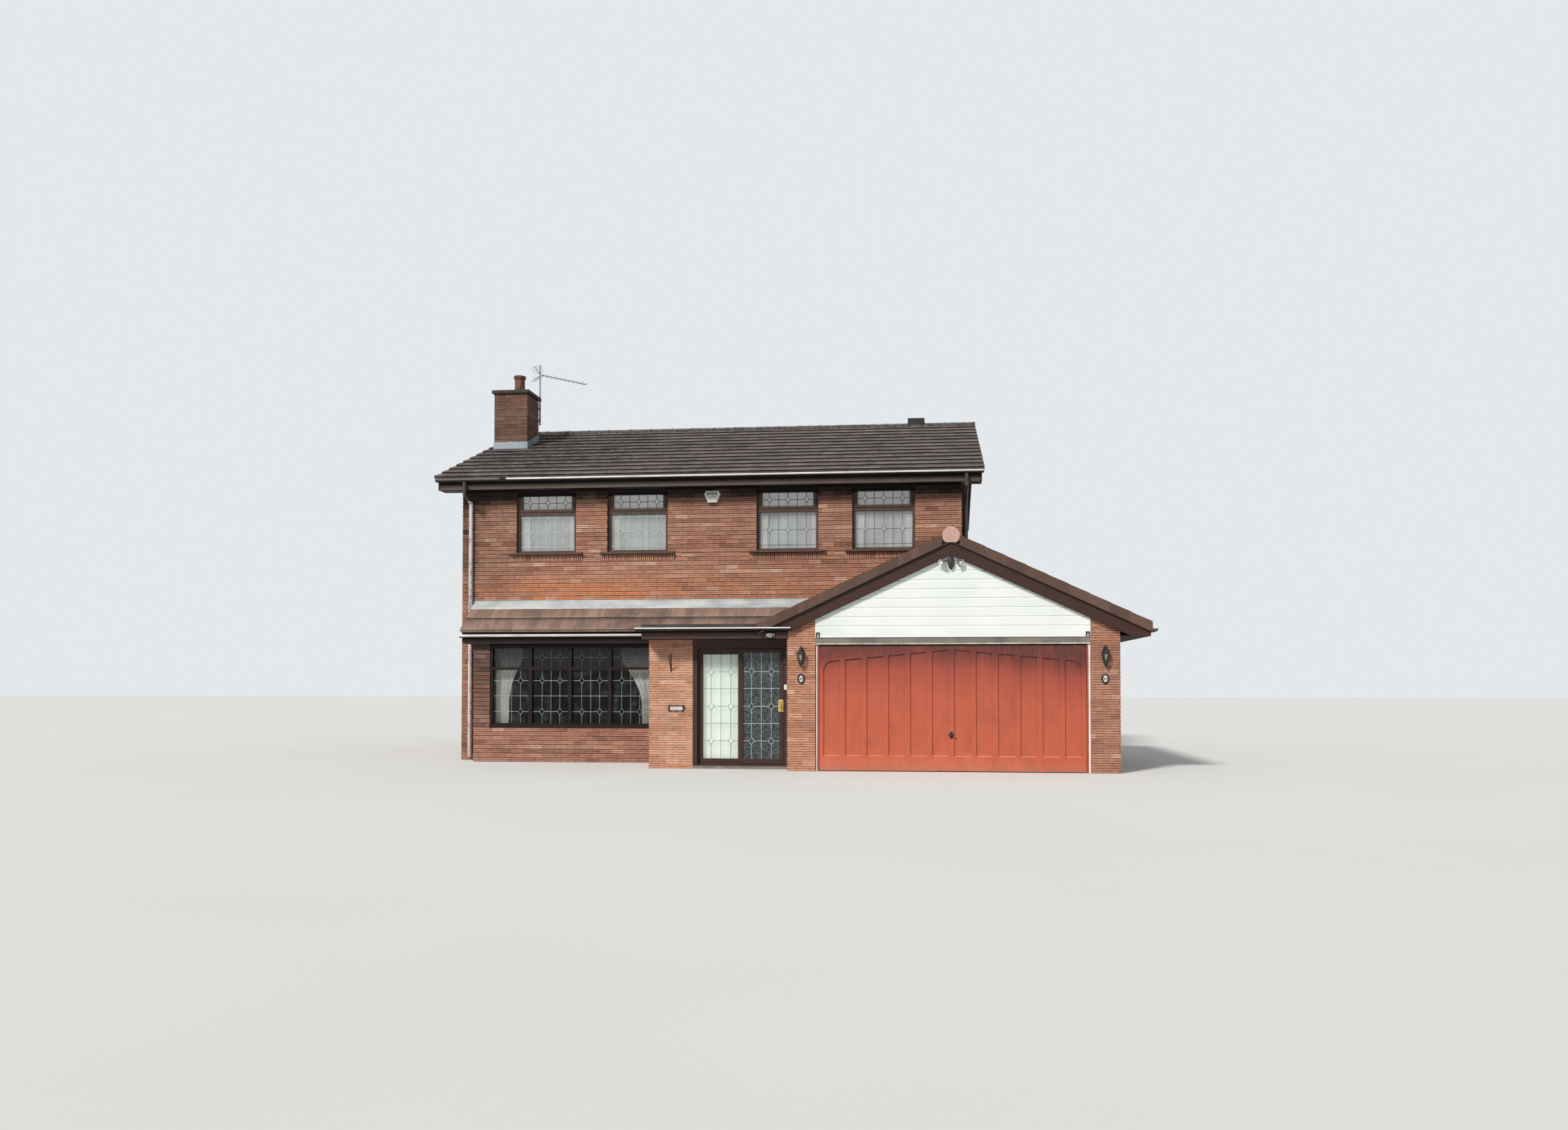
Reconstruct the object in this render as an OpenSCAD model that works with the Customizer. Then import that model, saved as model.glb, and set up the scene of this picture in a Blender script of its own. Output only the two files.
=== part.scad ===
// Detached house of the 1970s, in millimetres, with its front towards -Y.
// The origin is on the ground, below the middle of the main front wall's outer face.

/* [Main block] */
// Width of the two-storey block
main_w = 8900; // [8700:50:9300]
// Depth of the two-storey block
main_d = 7300; // [6900:50:8100]
// Thickness of the cavity walls
wall_t = 280; // [250:5:320]
// Underside of the main eaves above the ground
soffit_z = 4800; // [4700:10:5000]
// Top of the ground floor above the ground
floor_z = 150; // [100:5:200]
// Underside of the upper storey's front wall, over the openings of the lower storey
lintel_z = 2250; // [2200:10:2260]
// Top of the upper floor above the ground
upper_floor_z = 2620; // [2560:10:2700]
// Thickness of the upper floor
upper_floor_t = 240; // [200:10:260]

/* [Main roof] */
// Slope of the main roof in degrees
main_pitch = 21.5; // [20:0.5:24]
// Reach of the eaves tiles beyond the wall
main_eave = 380; // [360:5:400]
// Reach of the roof beyond each gable wall
main_verge = 380; // [350:5:420]
// Thickness of tiles, battens and felt
main_roof_t = 90; // [80:5:110]
// Distance of the fascia's front from the wall
fascia_out = 300; // [280:5:320]
// Height of the boxed eaves, from soffit to tile top
eave_h = 220; // [210:5:240]
// Width of the bargeboards on the main gables
main_barge_w = 175; // [150:5:200]

/* [Upper windows] */
// Width of a window opening
window_w = 1090; // [1000:10:1150]
// Height of a window opening with its sill
window_h = 1120; // [1060:10:1160]
// Brickwork between the window head and the soffit
window_head = 25; // [20:5:60]
// Centre of the first window from the middle of the block
window_1_x = -2910; // [-3000:10:-2850]
// Centre of the second window
window_2_x = -1245; // [-1300:5:-1200]
// Centre of the third window
window_3_x = 1430; // [1380:10:1480]
// Centre of the fourth window
window_4_x = 3110; // [3050:10:3160]
// Depth of the reveal in front of a frame
reveal = 50; // [40:5:60]
// Projection of the timber sills
sill_out = 70; // [50:5:90]
// Thickness of the timber sills
sill_t = 40; // [35:1:50]

/* [Chimney] */
// Width of the stack
stack_w = 665; // [600:5:700]
// Depth of the stack
stack_d = 665; // [600:5:700]
// Projection of the stack beyond the gable wall
stack_out = 265; // [230:5:280]
// Distance of the stack's front from the main front wall
stack_y = 2190; // [2100:10:2250]
// Rise of the stack's brickwork above the main roof's peak
stack_rise = 532; // [450:2:650]
// Thickness of the cap slab
cap_t = 65; // [50:5:80]
// Projection of the cap slab
cap_out = 50; // [40:5:60]
// Height of the chimney pot
pot_h = 360; // [300:10:400]
// Radius of the chimney pot at its rim
pot_r = 120; // [110:1:130]

/* [Lean-to and bay] */
// Slope of the lean-to roof in degrees
lean_pitch = 40; // [38:1:41]
// Reach of the lean-to's lowest tiles from the main wall
lean_out = 600; // [560:10:640]
// Height of the lean-to's lowest tile edge
lean_z = 2290; // [2270:10:2310]
// Thickness of the lean-to roof
lean_t = 70; // [60:5:80]
// Distance of the lean-to's left end from the block's left corner
lean_inset = 204; // [200:2:260]
// Distance of the bay's front from the main wall
bay_out = 450; // [420:5:480]
// Distance of the bay's left end from the block's left corner
bay_inset = 400; // [360:10:440]
// Width of the boarded post left of the bay window
bay_board_w = 290; // [250:10:320]
// Width of the brick panel between the bay window and the porch
bay_panel_w = 274; // [230:2:320]
// Height of the brick apron below the bay window
bay_sill_z = 600; // [560:10:660]
// Underside of the lean-to's soffit
lean_soffit_z = 2060; // [2040:5:2070]

/* [Porch] */
// Width of the porch with its pier
porch_w = 2286; // [2240:2:2330]
// Distance of the porch front from the main wall
porch_out = 1720; // [1690:5:1740]
// Width of the brick pier
porch_pier_w = 712; // [690:2:720]
// Thickness of the porch brickwork
porch_wall_t = 215; // [205:5:225]
// Underside of the porch soffit
porch_soffit_z = 2070; // [2066:2:2080]
// Underside of the flat roof
porch_roof_z = 2240; // [2236:2:2246]
// Thickness of the flat roof
porch_roof_t = 65; // [50:5:75]
// Top of the brick threshold
porch_floor_z = 45; // [40:5:60]
// Height of the beam board over the door
beam_board_h = 100; // [90:5:110]

/* [Porch door] */
// Overlap of the two leaves at their meeting stiles
leaf_overlap = 86; // [70:2:100]
// Thickness of each leaf
leaf_t = 40; // [36:1:42]
// Width of the leaf's stiles
stile_w = 68; // [60:1:80]
// Clearance round the moving leaf
leaf_gap = 6; // [5:1:8]

/* [Garage] */
// Distance of the garage's left side from the block's right corner
garage_inset = 2770; // [2700:10:2840]
// Width of the garage
garage_w = 5100; // [5000:20:5200]
// Distance of the garage front from the main wall
garage_out = 2060; // [2055:1:2070]
// Depth of the garage behind the main front wall
garage_back = 3300; // [3000:50:3600]
// Width of each front pier
garage_pier_w = 440; // [420:5:460]
// Thickness of the garage walls
garage_wall_t = 215; // [205:5:225]
// Slope of the garage roof in degrees
garage_pitch = 25; // [24.5:0.1:25.4]
// Reach of the garage roof beyond its side walls
garage_eave = 470; // [460:2:474]
// Height of the garage roof's lowest tile edge
garage_low_z = 2290; // [2280:5:2295]
// Thickness of the garage roof
garage_roof_t = 70; // [60:5:80]
// Reach of the garage roof in front of its wall
garage_verge = 100; // [95:1:110]
// Width of the garage bargeboards, with what the verge tiles cover
garage_barge_w = 245; // [230:5:255]
// Depth of the verge tiles' hanging edge
verge_h = 130; // [110:5:140]

/* [Garage door] */
// Underside of the garage's head beam
head_z = 1975; // [1972:1:1990]
// Height of the head beam
head_h = 110; // [90:5:130]
// Width of the white door posts
jamb_w = 56; // [50:1:60]
// Thickness of the door
door_t = 44; // [40:1:48]
// Clearance at each side of the door
door_side_gap = 6; // [5:1:8]
// Clearance over the door
door_top_gap = 15; // [14:1:18]
// Clearance under the door
door_floor_gap = 12; // [10:1:15]
// Number of recessed panels
panel_count = 12; // [8:1:14]
// Width of a recessed panel
panel_w = 254; // [220:2:260]
// Depth of a recess
panel_depth = 18; // [8:1:20]
// Bottom edge of the panels above the ground
panel_z = 238; // [200:5:260]
// Slope of the panels' top line in degrees
panel_rake = 5.4; // [3:0.2:6]
// Top of the panel line at its middle
panel_top_z = 1895; // [1850:5:1900]
// Radius of the outer corners of the panel line
panel_corner_r = 150; // [100:10:180]
// Height of the door's pivot below its top edge
pivot_drop = 115; // [110:1:120]
// Distance of the pivot behind the door's front
pivot_back = 120; // [118:1:124]
// Travel of the pivot along its tracks
door_travel = 1740; // [1700:5:1745]
// Radius of the track rollers
roller_r = 20; // [18:1:22]

/* [Hidden] */
$fn = 48;

// Running gap that seats a piece on what carries it
seat = 0.3;
// Gap left over and under each roof slope, where a sloping seam would otherwise pinch what meets it
seam = 0.05;

// Main block
main_x = main_w / 2;
garage_x = main_x - garage_inset;
porch_x = garage_x - porch_w;
gable_y = [wall_t, main_d - wall_t];
eave_z = soffit_z + eave_h;
ridge_y = main_d / 2;
roof_x = main_x + main_verge;
tile_t = 25;
main_roof_v = main_roof_t / cos(main_pitch);
tile_v = tile_t / cos(main_pitch);
fascia_t = 22;
soffit_t = 12;
fascia_in = fascia_t - fascia_out;
barge_t = 25;
barge_x = roof_x - 40 - barge_t;
barge_v = main_barge_w / cos(main_pitch);
function main_top(y) = eave_z + (y + main_eave) * tan(main_pitch);
function main_under(y) = main_top(y) - main_roof_v;

// Upper windows
window_xs = [window_1_x, window_2_x, window_3_x, window_4_x];
rear_low_xs = [window_1_x, window_2_x, window_4_x];
window_z = [soffit_z - window_head - window_h, soffit_z - window_head];
rear_sill_up = 850;
rear_low_z = [floor_z + rear_sill_up, floor_z + rear_sill_up + window_h];
frame_w = 46;
frame_d = 70;
transom_up = 755;
transom_h = 62;
sash_w = 45;
sash_out = 12;
glass_t = 6;
glass_y = reveal + frame_d / 2 - glass_t / 2;
sill_horn = 122;
net_t = 40;

// Chimney
stack_x = -main_x - stack_out;
stack_z = main_top(ridge_y) + stack_rise;
stack_core_z = soffit_z + 500;
pot_x = stack_x + stack_w / 2 + 60;
pot_y = stack_y + stack_d / 2;
pot_wall = 22;
pot_neck = 10;
pot_roll = 30;
lead_t = 6;
apron_h = 140;
mast_r = 16;
strap_t = 2;
strap_h = 20;
mast_x = stack_x + stack_w + mast_r / 2;
mast_y = stack_y + stack_d + cap_out + 1.6 * mast_r;
mast_down = 480;
mast_up = 760;
mast_z = [stack_z - mast_down, stack_z + mast_up];
boom_z = mast_z[1] - 200;
boom_l = 1120;
boom_turn = 50;

// Gutters and downpipes
gutter_r = 56;
gutter_t = 4;
pipe_r = 34;
pipe_out = pipe_r + 16;
left_pipe_x = -main_x + lean_inset - pipe_r - 4;
right_pipe_x = main_x + pipe_out + 30;
right_pipe_y = 120;

// Lean-to and bay
lean_x = -main_x + lean_inset;
lean_v = lean_t / cos(lean_pitch);
lean_tile_v = tile_t / cos(lean_pitch);
lean_fascia_out = lean_out - 40;
lean_fascia_in = fascia_t - lean_fascia_out;
function lean_top(y) = lean_z + (y + lean_out) * tan(lean_pitch);
function lean_under(y) = lean_top(y) - lean_v;
flashing_h = 57;
flashing_lap = 125;
ridge_r = 125;
ridge_t = 15;
ridge_sink = 50;
vent_in = 810;
vent_x = main_x - vent_in;
vent_l = 340;
vent_w = 190;
vent_h = 165;
bay_x = -main_x + bay_inset;
bay_wall_t = 110;
bay_window_x = bay_x + bay_board_w;
bay_window_end = porch_x - bay_panel_w;
bay_window_w = bay_window_end - bay_window_x;
bay_frame_d = 90;
bay_frame_y = -bay_out + 10;
bay_lights = 4;
bay_jamb = 42;
bay_mullion = 46;
bay_light_w = (bay_window_w - 2 * bay_jamb - (bay_lights - 1) * bay_mullion) / bay_lights;
bay_transom_up = 1025;
bay_transom_z = bay_sill_z + bay_transom_up;
bay_bottom_rail = 70;
bay_top_rail = 80;
bay_opening = [bay_x + bay_wall_t, bay_window_end + 60];

// Porch
porch_end = garage_x;
porch_fascia_out = garage_out + fascia_t;
pier_end = porch_x + porch_pier_w;
porch_roof_x = [porch_x - 54, garage_x - garage_eave - 5];
door_head_z = porch_soffit_z - beam_board_h;
frame_depth = 120;
post_w = 75;
frame_right_w = 100;
frame_head_h = 45;
track_z = porch_floor_z + 30;
door_space = [pier_end + post_w, porch_end - frame_right_w + 5];
fixed_x = door_space[0] + 10;
leaf_w = (door_space[1] - leaf_gap - fixed_x + leaf_overlap) / 2;
leaf_x = door_space[1] - leaf_gap - leaf_w;
leaf_z = [track_z + leaf_gap, door_head_z - frame_head_h - leaf_gap];
leaf_y = -porch_out + 15;
bottom_rail = 85;
top_rail = 55;
fixed_y = leaf_y + leaf_t + 10;
wheel_r = 14;
house_door_in = 406;
house_door_w = 900;
house_door_x = [porch_x + house_door_in, porch_x + house_door_in + house_door_w];
curtain_t = 30;

// Garage
garage_end = garage_x + garage_w;
garage_mid = garage_x + garage_w / 2;
opening = [garage_x + garage_pier_w, garage_end - garage_pier_w];
garage_roof_v = garage_roof_t / cos(garage_pitch);
garage_edge = [garage_x - garage_eave, garage_end + garage_eave];
verge_y = -garage_out - garage_verge;
barge_y = verge_y + 20;
garage_barge_v = garage_barge_w / cos(garage_pitch);
garage_soffit_z = garage_low_z - 205;
fascia_in_x = 20;
porch_gutter_end = garage_x + 64;
cap_r = 136;
cap_drop = 106;
floor_t = 25;

// Ironwork on the piers and the boarded gable
lamp_z = 1790;
lamp_w = 138;
lamp_h = 330;
lamp_plate_t = 12;
lamp_out = 140;
plaque_z = 1440;
plaque_w = 120;
plaque_h = 165;
plaque_t = 15;
name_plate_w = 300;
name_plate_h = 116;
name_plate_z = 966;
name_plate_in = 265;
bracket_z = 1557;
bracket_h = 281;
bracket_t = 10;
bracket_out = 190;
bracket_in = 356;
hasp_w = 60;
hasp_h = 72;
hasp_t = 22;

// Alarm box, floodlight, and the fittings of the porch door
alarm_x = 107;
alarm_z = soffit_z - 145;
alarm_w = 316;
alarm_h = 242;
alarm_out = 75;
flood_z = garage_top(garage_mid) - garage_roof_v - garage_barge_w - 155;
flood_half = 125;
flood_out = 60;
bell_x = porch_end - 68;
bell_z = 1308;
latch_z = 1728;
sensor_x = porch_end - 265;
sensor_z = porch_soffit_z + 55;
function garage_top(x) =
    garage_low_z + (garage_w / 2 + garage_eave - abs(x - garage_mid)) * tan(garage_pitch);
function garage_under(x) = garage_top(x) - garage_roof_v;
cladding_t = 110;
cladding_y = -garage_out - 10;
cladding_z = head_z + head_h;
post_y = [-garage_out + 10, -garage_out + 110];

// Garage door, hung on rollers that run back along two tracks
door_x = [opening[0] + jamb_w + door_side_gap, opening[1] - jamb_w - door_side_gap];
door_z = [door_floor_gap, head_z - door_top_gap];
door_y = -garage_out + 20;
pivot_y = door_y + pivot_back;
pivot_z = door_z[1] - pivot_drop;
spindle_r = 8;
spindle_gap = 0.1;
track_t = 3;
track_w = 44;
track_x = opening[0] + 5;
track_y = [post_y[1], pivot_y + door_travel + 30];
panel_pitch = (door_x[1] - door_x[0] - 2 * 62 + 80) / panel_count;
door_mid = (door_x[0] + door_x[1]) / 2;
panel_span = (panel_count - 1) * panel_pitch + panel_w;

// Box between two corners, given as a range on each axis
module box(x, y, z) {
    translate([x[0], y[0], z[0]])
        cube([x[1] - x[0], y[1] - y[0], z[1] - z[0]]);
}

// Outline in Y and Z, drawn out along X
module run_x(x) {
    translate([x[0], 0, 0])
        rotate([90, 0, 90])
            linear_extrude(x[1] - x[0])
                children();
}

// Outline in X and Z, drawn out along Y
module run_y(y) {
    translate([0, y[1], 0])
        rotate([90, 0, 0])
            linear_extrude(y[1] - y[0])
                children();
}

// Upright plate on a wall: the middle of its back, its width, its height and its thickness
module plate(at, w, h, t) {
    box([at[0] - w / 2, at[0] + w / 2], [at[1] - t, at[1]], [at[2] - h / 2, at[2] + h / 2]);
}

// The same piece at the back of the main block
module at_rear() {
    translate([0, main_d, 0])
        mirror([0, 1, 0])
            children();
}

// The same piece on the other side of the garage's middle
module at_garage_right() {
    translate([2 * garage_mid, 0, 0])
        mirror([1, 0, 0])
            children();
}

// Round rod or pipe from one point to another
module rod(from, to, r) {
    d = to - from;
    translate(from)
        rotate([0, acos(d[2] / norm(d)), atan2(d[1], d[0])])
            cylinder(h = norm(d), r = r);
}

// Floors of the house, bay, porch and garage
module ground_floor() {
    color("gray") {
        box([wall_t - main_x, main_x - wall_t], gable_y, [0, floor_z]);
        box(bay_opening, [bay_wall_t - bay_out, wall_t], [0, floor_z]);
        box([house_door_x[0], house_door_x[1]], [0, wall_t], [0, floor_z]);
        box([porch_x + porch_wall_t, porch_end], [porch_wall_t - porch_out, 0], [0, porch_floor_z]);
        box([pier_end, porch_end], [-porch_out, porch_wall_t - porch_out], [0, porch_floor_z]);
        box([garage_x + garage_wall_t, garage_end - garage_wall_t],
            [garage_wall_t - garage_out, 0], [0, floor_t]);
        box([main_x, garage_end - garage_wall_t], [0, garage_back - garage_wall_t], [0, floor_t]);
    }
}

module upper_floor() {
    color("burlywood")
        box([wall_t - main_x, main_x - wall_t], gable_y,
            [upper_floor_z - upper_floor_t, upper_floor_z]);
}

// Brickwork beside the bay, the house door and the garage
module front_wall_lower() {
    color("indianred") {
        box([-main_x, bay_opening[0]], [0, wall_t], [0, lintel_z]);
        box([bay_opening[1], house_door_x[0]], [0, wall_t], [0, lintel_z]);
        box([house_door_x[1], main_x], [0, wall_t], [0, lintel_z]);
    }
}

module window_hole(x, z) {
    box([x - window_w / 2, x + window_w / 2], [-1, wall_t + 1], z);
}

// Wall along the front of one storey, with its top cut to the roof's slope
module wall_slab(z0) {
    run_x([-main_x, main_x])
        polygon([[0, z0], [wall_t, z0], [wall_t, main_under(wall_t)], [0, main_under(0)]]);
}

module front_wall_upper() {
    color("indianred")
        difference() {
            wall_slab(lintel_z);
            for (x = window_xs)
                window_hole(x, window_z);
        }
}

module rear_wall() {
    color("indianred")
        at_rear()
            difference() {
                wall_slab(0);
                for (x = window_xs)
                    window_hole(x, window_z);
                for (x = rear_low_xs)
                    window_hole(x, rear_low_z);
            }
}

module gable_slab(x) {
    run_x(x)
        polygon([[gable_y[0], 0], [gable_y[1], 0], [gable_y[1], main_under(wall_t)],
            [ridge_y, main_under(ridge_y)], [gable_y[0], main_under(wall_t)]]);
}

module stack_core(grow = 0) {
    box([stack_x - grow, stack_x + stack_w + grow],
        [stack_y - grow, stack_y + stack_d + grow], [stack_core_z, stack_z]);
}

module left_gable_wall() {
    color("indianred")
        difference() {
            gable_slab([-main_x, wall_t - main_x]);
            stack_core();
        }
}

module right_gable_wall() {
    color("indianred")
        gable_slab([main_x - wall_t, main_x]);
}

// Stack over the roof, and the breast that carries it down the outside of the gable
module chimney_stack() {
    color("indianred") {
        stack_core();
        box([stack_x, -main_x], [stack_y, stack_y + stack_d], [0, stack_core_z]);
    }
}

module chimney_cap() {
    color("gray")
        box([stack_x - cap_out, stack_x + stack_w + cap_out],
            [stack_y - cap_out, stack_y + stack_d + cap_out], [stack_z, stack_z + cap_t]);
}

// Pot with a roll at its foot and another under its rim
module chimney_pot() {
    inner_r = pot_r - pot_wall;
    color("peru")
        translate([pot_x, pot_y, stack_z + cap_t])
            rotate_extrude()
                difference() {
                    polygon([[0, 0], [pot_r, 0], [pot_r, pot_roll], [pot_r - pot_neck, 2 * pot_roll],
                        [pot_r - pot_neck, pot_h - 2 * pot_roll], [pot_r, pot_h - 1.5 * pot_roll],
                        [pot_r, pot_h - pot_roll / 3], [pot_r - pot_roll / 3, pot_h], [0, pot_h]]);
                    translate([0, pot_roll])
                        square([inner_r, pot_h]);
                }
}

// Space under the garage roof's top plane
module garage_space() {
    run_y([verge_y, garage_back + garage_verge])
        polygon([[garage_edge[0] - 200, 0],
            [garage_edge[0] - 200, garage_top(garage_edge[0] - 200)],
            [garage_mid, garage_top(garage_mid)],
            [garage_edge[1], garage_top(garage_edge[1])], [garage_edge[1], 0]]);
}

// Points along the garage roof's top from right to left, raised by a height
function garage_line(x, up) =
    [for (p = [x[1], garage_mid, x[0]])
        if (p != garage_mid || (x[0] <= p && p <= x[1]))
            [p, garage_top(p) + up]];

// Section of a layer along the garage roof between two x values, from one height over its top to another
module garage_layer(x, up) {
    low = garage_line(x, up[0]);
    polygon(concat(garage_line(x, up[1]), [for (i = [len(low) - 1 : -1 : 0]) low[i]]));
}

// Lead on the wall over a garage slope, with a lap on the tiles
module garage_flashing(x) {
    run_y([-lead_t, 0])
        garage_layer(x, [0, flashing_h]);
    run_y([-flashing_lap, -lead_t])
        garage_layer(x, [0, lead_t]);
}

// Lead collar that follows the roof's slope round the stack
module stack_collar() {
    difference() {
        intersection() {
            stack_core(lead_t);
            run_x([stack_x - lead_t, stack_x + stack_w + lead_t])
                polygon([for (p = [[-1, 0], [1, 0], [1, 1], [-1, 1]])
                    let (y = stack_y + stack_d / 2 + p[0] * stack_d)
                    [y, main_top(y) + p[1] * apron_h]]);
        }
        stack_core();
    }
}

// Lead where the low roofs meet the walls, and round the stack
module lead_flashings() {
    valley_x = garage_edge[0] + (lean_top(0) - garage_low_z) / tan(garage_pitch);
    color("lightgray") {
        difference() {
            run_x([lean_x, valley_x])
                polygon([[0, lean_top(0)], [0, lean_top(0) + flashing_h],
                    [-lead_t, lean_top(0) + flashing_h],
                    [-lead_t, lean_top(-lead_t) + lead_t],
                    [-flashing_lap, lean_top(-flashing_lap) + lead_t],
                    [-flashing_lap, lean_top(-flashing_lap)]]);
            garage_space();
        }
        garage_flashing([valley_x, garage_mid - ridge_r]);
        garage_flashing([garage_mid + ridge_r, main_x]);
        run_y([0, garage_back + garage_verge]) {
            garage_layer([main_x, main_x + lead_t], [0, apron_h]);
            garage_layer([main_x, main_x + flashing_lap], [0, lead_t]);
        }
        stack_collar();
    }
}

// Television aerial: a mast strapped behind the stack, and a boom with its rods
module tv_aerial() {
    color("silver") {
        translate([mast_x, mast_y, mast_z[0]])
            cylinder(h = mast_z[1] - mast_z[0], r = mast_r);
        for (z = [mast_z[0] + 4 * strap_h, mast_z[0] + 16 * strap_h]) {
            box([mast_x - strap_h, mast_x + strap_h], [stack_y + stack_d, mast_y], [z, z + strap_h]);
            difference() {
                box([stack_x - strap_t, stack_x + stack_w + strap_t],
                    [stack_y - strap_t, stack_y + stack_d + strap_t], [z, z + strap_h]);
                stack_core();
            }
        }
        translate([mast_x, mast_y, boom_z])
            rotate([0, 0, boom_turn]) {
                rod([0, 0, 0], [boom_l, 0, 0], 9);
                for (i = [1 : 10])
                    aerial_rod([i * boom_l / 10.5, 0, 0], 330 - 9 * i);
                for (s = [-1, 1]) {
                    rod([0, 0, 0], [-200 * cos(50), 0, s * 200 * sin(50)], 7);
                    for (k = [1 : 4])
                        aerial_rod([-46 * k * cos(50), 0, s * 46 * k * sin(50)], 380);
                }
            }
    }
}

module aerial_rod(at, length) {
    translate(at)
        rotate([90, 0, 0])
            cylinder(h = length, r = 4, center = true, $fn = 8);
}

// One slope of the main roof: a thin tile edge over the gutter, full thickness behind the fascia
module main_slope() {
    run_x([-roof_x, roof_x])
        polygon([[-main_eave, main_top(-main_eave) - seam],
            [-main_eave, main_top(-main_eave) - tile_v],
            [fascia_in, main_top(fascia_in) - tile_v],
            [fascia_in, main_under(fascia_in) + seam],
            [ridge_y, main_under(ridge_y) + seam],
            [ridge_y, main_top(ridge_y) - seam]]);
}

module main_roof_front() {
    color("dimgray")
        difference() {
            main_slope();
            stack_core();
        }
}

module main_roof_rear() {
    color("dimgray")
        at_rear()
            main_slope();
}

// Half-round ridge tile in section, centred a little below the peak of two slopes
module ridge_ring(peak) {
    translate([peak[0], peak[1] - ridge_sink])
        difference() {
            circle(r = ridge_r);
            circle(r = ridge_r - ridge_t);
        }
}

// Half-round ridge tiles, and the low box of the ridge ventilator
module main_ridge() {
    peak = [ridge_y, main_top(ridge_y)];
    half = vent_w / 2;
    color("dimgray")
        difference() {
            union() {
                run_x([-roof_x, roof_x])
                    ridge_ring(peak);
                run_x([vent_x - vent_l / 2, vent_x + vent_l / 2])
                    polygon([[peak[0] - half - ridge_t, peak[1] - ridge_sink],
                        [peak[0] - half, peak[1] + vent_h],
                        [peak[0] + half, peak[1] + vent_h],
                        [peak[0] + half + ridge_t, peak[1] - ridge_sink]]);
            }
            run_x([-roof_x - 1, roof_x + 1])
                polygon([[0, 0], [0, main_top(0)], peak, [main_d, main_top(0)], [main_d, 0]]);
        }
}

// Fascia and flat soffit of one eave
module main_eave_boards() {
    box([-barge_x, barge_x], [-fascia_out, fascia_in],
        [soffit_z, main_top(-fascia_out) - tile_v]);
    box([-barge_x, barge_x], [fascia_in, 0], [soffit_z, soffit_z + soffit_t]);
}

module main_fascias() {
    color("saddlebrown") {
        main_eave_boards();
        at_rear()
            main_eave_boards();
    }
}

// Bargeboard with its boxed foot, and the sloping soffit behind it, for half a gable
module main_barge() {
    run_x([barge_x, barge_x + barge_t])
        polygon([[-fascia_out, soffit_z], [soffit_t, soffit_z],
            [soffit_t, main_under(soffit_t) - barge_v],
            [ridge_y, main_under(ridge_y) - barge_v], [ridge_y, main_under(ridge_y)],
            [-fascia_out, main_under(-fascia_out)]]);
    run_x([main_x, barge_x])
        polygon([[0, soffit_z], [soffit_t, soffit_z], [soffit_t, main_under(soffit_t) - barge_v],
            [ridge_y, main_under(ridge_y) - barge_v],
            [ridge_y, main_under(ridge_y) - barge_v + soffit_t],
            [0, main_under(0) - barge_v + soffit_t]]);
}

// Bargeboard of one garage slope, with a boxed foot over the eaves and a soffit behind it
module garage_barge() {
    foot_z = garage_soffit_z;
    line_x = garage_edge[0] + (foot_z + garage_barge_v - garage_low_z + garage_roof_v) / tan(garage_pitch);
    end = garage_edge[0] + fascia_in_x;
    run_y([barge_y, barge_y + barge_t])
        polygon([[end, foot_z], [line_x, foot_z],
            [garage_mid, garage_under(garage_mid) - garage_barge_v],
            [garage_mid, garage_under(garage_mid)], [end, garage_under(end)]]);
    run_y([barge_y + barge_t, cladding_y])
        polygon([for (p = [[garage_x, 0], [garage_mid, 0], [garage_mid, 1], [garage_x, 1]])
            [p[0], garage_under(p[0]) - garage_barge_v + p[1] * soffit_t]]);
}

// Boards under the garage's right eave, and the board on the rear edge of that slope
module garage_eaves() {
    x = garage_edge[1] - fascia_in_x;
    box([x - fascia_t, x], [barge_y + barge_t, garage_back + garage_verge - barge_t],
        [garage_soffit_z, garage_under(x)]);
    box([garage_end, x - fascia_t], [barge_y + barge_t, garage_back + garage_verge - barge_t],
        [garage_soffit_z, garage_soffit_z + soffit_t]);
    run_y([garage_back + garage_verge - barge_t, garage_back + garage_verge])
        polygon([[x, garage_soffit_z], [x, garage_under(x)], [main_x, garage_under(main_x)],
            [main_x, garage_under(main_x) - garage_barge_v],
            [garage_end, garage_under(garage_end) - garage_barge_v], [garage_end, garage_soffit_z]]);
}

module bargeboards() {
    color("saddlebrown") {
        difference() {
            for (side = [0, 1])
                mirror([side, 0, 0]) {
                    main_barge();
                    at_rear()
                        main_barge();
                }
            box([stack_x, -main_x + 1], [stack_y, stack_y + stack_d], [0, stack_z]);
        }
        difference() {
            garage_barge();
            porch_gutter_room();
        }
        at_garage_right()
            garage_barge();
        garage_eaves();
    }
}

// Room for the porch's gutter and fascia, which pass in front of the garage roof's low corner
module porch_gutter_room() {
    box([garage_edge[0] - 100, porch_gutter_end + 5], [verge_y - 100, -garage_out + 2],
        [0, porch_gutter_z + 4]);
}

// Half-round gutter with stop ends, its back against the line y, its rim at height z
module gutter(x, y, z) {
    translate([0, y - gutter_r - seat, z]) {
        run_x(x)
            difference() {
                circle(r = gutter_r);
                circle(r = gutter_r - gutter_t);
                translate([-2 * gutter_r, 0])
                    square(4 * gutter_r);
            }
        for (end = [x[0], x[1] - gutter_t])
            run_x([end, end + gutter_t])
                difference() {
                    circle(r = gutter_r - gutter_t / 2);
                    translate([-2 * gutter_r, 0])
                        square(4 * gutter_r);
                }
    }
}

main_gutter_z = eave_z - 35;
lean_gutter_z = lean_z - 75;
porch_gutter_z = porch_roof_z + 7;
garage_gutter_z = garage_low_z - 85;

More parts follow.
